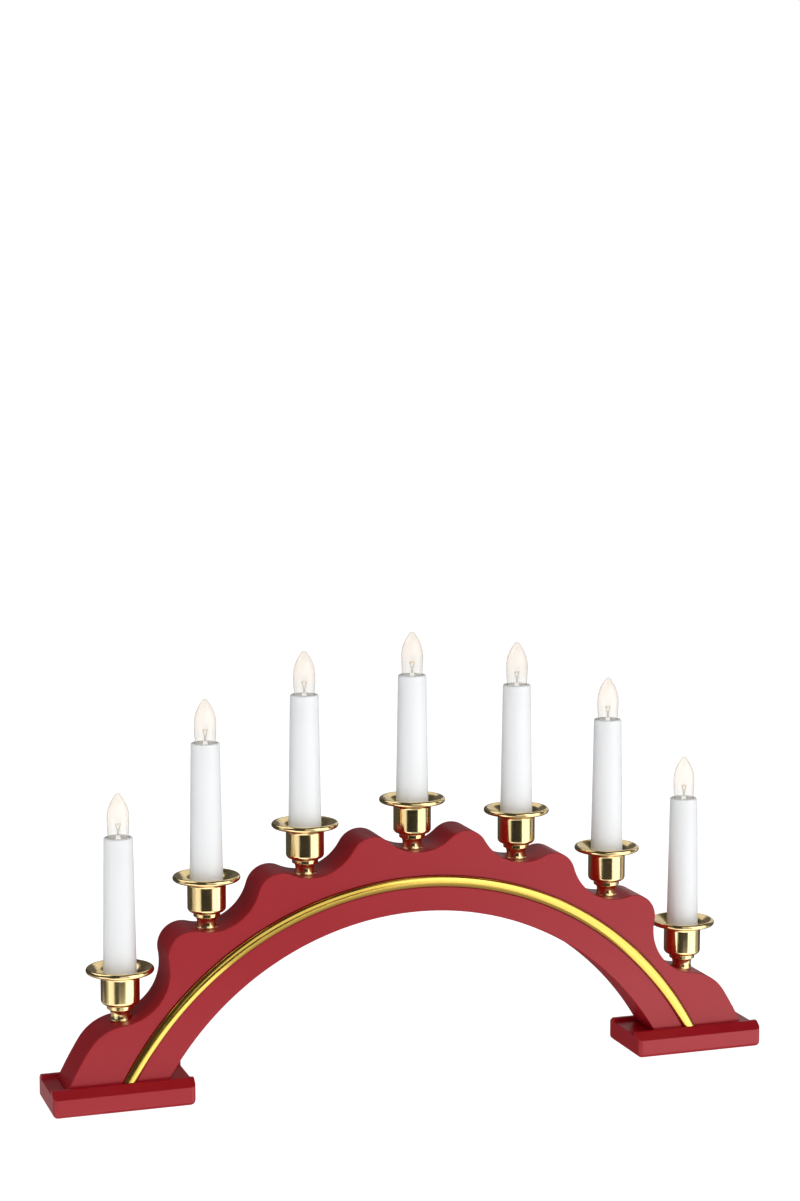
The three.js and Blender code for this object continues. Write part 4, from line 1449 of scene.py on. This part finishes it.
# %% [markdown]
# ## The leads and the filament
#
# Two steel leads run up from the mount, spread apart above the bead and hold the ends of the filament,
# a finely coiled wire. Each lead is drawn as a line, made a curve with a round bevel and then a mesh,
# which bends neatly at the bead. The coil is one small circle that the Screw modifier winds up, laid
# on its side: a bevelled curve could follow the coil too, but its path would have to be worked out
# point by point.

# %% Leads
FILAMENT_HEIGHT = 7.5
FILAMENT_SPREAD = 3.0
LEAD_DIAMETER = 0.45
LEAD_GAP = 0.7
LEAD_ROUNDNESS = 3


def draw_lead(side):
    """One lead, on the side -1 or 1: upright to the bead, and from there out to the filament's end."""
    pen = Pen("lead_pattern", side * LEAD_GAP / 2, CAP_TOP + CLEARANCE)
    pen.line(side * LEAD_GAP / 2, BEAD_MIDDLE).line(side * FILAMENT_SPREAD / 2, FILAMENT_HEIGHT)
    bpy.ops.object.mode_set(mode="OBJECT")
    pick(pen.piece)
    bpy.ops.object.convert(target="CURVE")
    curve = bpy.context.object
    curve.data.bevel_depth = LEAD_DIAMETER / 2 * MM
    curve.data.bevel_resolution = LEAD_ROUNDNESS
    curve.data.use_fill_caps = True
    bpy.ops.object.convert(target="MESH")
    lead = bpy.context.object
    close_ends(lead)
    return smooth(lead, ROUND_SMOOTH)


left_lead_pattern = draw_lead(-1)
right_lead_pattern = draw_lead(1)

# %% Filament
COIL_DIAMETER = 1.0
COIL_WIRE = 0.22
COIL_WIRE_SIDES = 8
COIL_TURNS = 8
COIL_STEPS = 20


def draw_filament():
    """The coil between the leads: a round wire wound by the Screw modifier, and laid on its side."""
    bpy.ops.object.select_all(action="DESELECT")
    start = Vector((COIL_DIAMETER / 2, 0, -FILAMENT_SPREAD / 2)) * MM
    bpy.ops.mesh.primitive_circle_add(vertices=COIL_WIRE_SIDES, radius=COIL_WIRE / 2 * MM,
                                      fill_type="NGON", location=start, rotation=(math.pi / 2, 0, 0))
    bpy.ops.object.transform_apply(location=True, rotation=True, scale=False)
    coil = bpy.context.object
    coil.name = "filament_pattern"
    apply_modifier(coil, "SCREW", angle=2 * math.pi, screw_offset=FILAMENT_SPREAD / COIL_TURNS * MM,
                   iterations=COIL_TURNS, steps=COIL_STEPS, render_steps=COIL_STEPS,
                   use_normal_calculate=True)
    close_ends(coil)
    return settle(coil, (0, math.pi / 2, 0), Vector((0, 0, FILAMENT_HEIGHT)) * MM)


filament_pattern = smooth(draw_filament(), ROUND_SMOOTH)

# %% [markdown]
# ## The seven lights
#
# The seven lights are alike, apart from their places and the depth to which each candle is pushed on.
# Every pattern is copied seven times, each copy with its own mesh, and moved to the place that the CAD
# nodes give: stems and cups to the seat, candles to their foot, and bulbs to the candle's top. Linked
# copies would save memory, but each piece needs its place in its own mesh. A bulb's glass rides on one
# body and the rest of the bulb on another, which turn and rise together.

# %% Place the seven lights
ENVELOPE, SCREW = "bulb_{}_envelope", "bulb_{}_screw"
# Pattern, name, place, finish, body, slot and the CAD node that it stands for:
LIGHT_PIECES = (
    (stem_pattern, "brass_stem", "seat", "brass", "stand", "brass", "cup_stem"),
    (cup_pattern, "brass_cup", "seat", "brass", "stand", "brass", "drip_cup"),
    (candle_pattern, "candle", "foot", "candle_white", "stand", "candle_white", "candle_sleeve"),
    (holder_pattern, "screw_holder", "foot", "holder_white", "stand", "holder_white", "lampholder"),
    (glass_pattern, "pointed_glass", "top", "clear_glass", ENVELOPE, "clear_glass", "bulb_glass"),
    (cap_pattern, "screw_cap", "top", "nickel", SCREW, "nickel", "bulb_cap"),
    (bead_pattern, "bead", "top", "bead_glass", SCREW, "clear_glass", "filament"),
    (mount_pattern, "glass_mount", "top", "mount_glass", SCREW, "clear_glass", "filament"),
    (left_lead_pattern, "lead_left", "top", "steel", SCREW, "steel", "filament"),
    (right_lead_pattern, "lead_right", "top", "steel", SCREW, "steel", "filament"),
    (filament_pattern, "glowing_filament", "top", "glowing_wire", SCREW, "steel", "filament"))


def place_light(light):
    """Copies all patterns to one light and dresses the copies."""
    x = axis_of(f"cup_stem_{light}") * MM
    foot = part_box(f"candle_sleeve_{light}")[0].z
    heights = {"seat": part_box(f"cup_stem_{light}")[0].z + TENON_LENGTH * MM,
               "foot": foot,
               "top": foot + CANDLE_LENGTH * MM}
    for pattern, name, place, finish, body, slot, node in LIGHT_PIECES:
        piece = copied(pattern, f"{name}_{light}", Vector((x, 0, heights[place])))
        dress(piece, FINISHES[finish], body.format(light), slot, f"{node}_{light}")


for light in LIGHTS:
    place_light(light)
for pattern, *_ in LIGHT_PIECES:
    bpy.data.objects.remove(pattern)
print("Seven lights of", len(LIGHT_PIECES), "pieces each")

# %% [markdown]
# ## The nodes that stay
#
# The wires lie inside the arch and the stems, and the foot screws sit in the underside of the feet.
# Their CAD solids are as good as new pieces would be, so they stay, and only get their finish.

# %% CAD nodes that stay
KEPT_NODES = {"wiring": "wire_jacket", "foot_screw_left_outer": "steel", "foot_screw_left_inner": "steel",
              "foot_screw_right_inner": "steel", "foot_screw_right_outer": "steel"}

for node, finish in KEPT_NODES.items():
    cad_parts[node].data.materials.clear()
    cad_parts[node].data.materials.append(FINISHES[finish])
print("CAD nodes that stay:", ", ".join(KEPT_NODES))
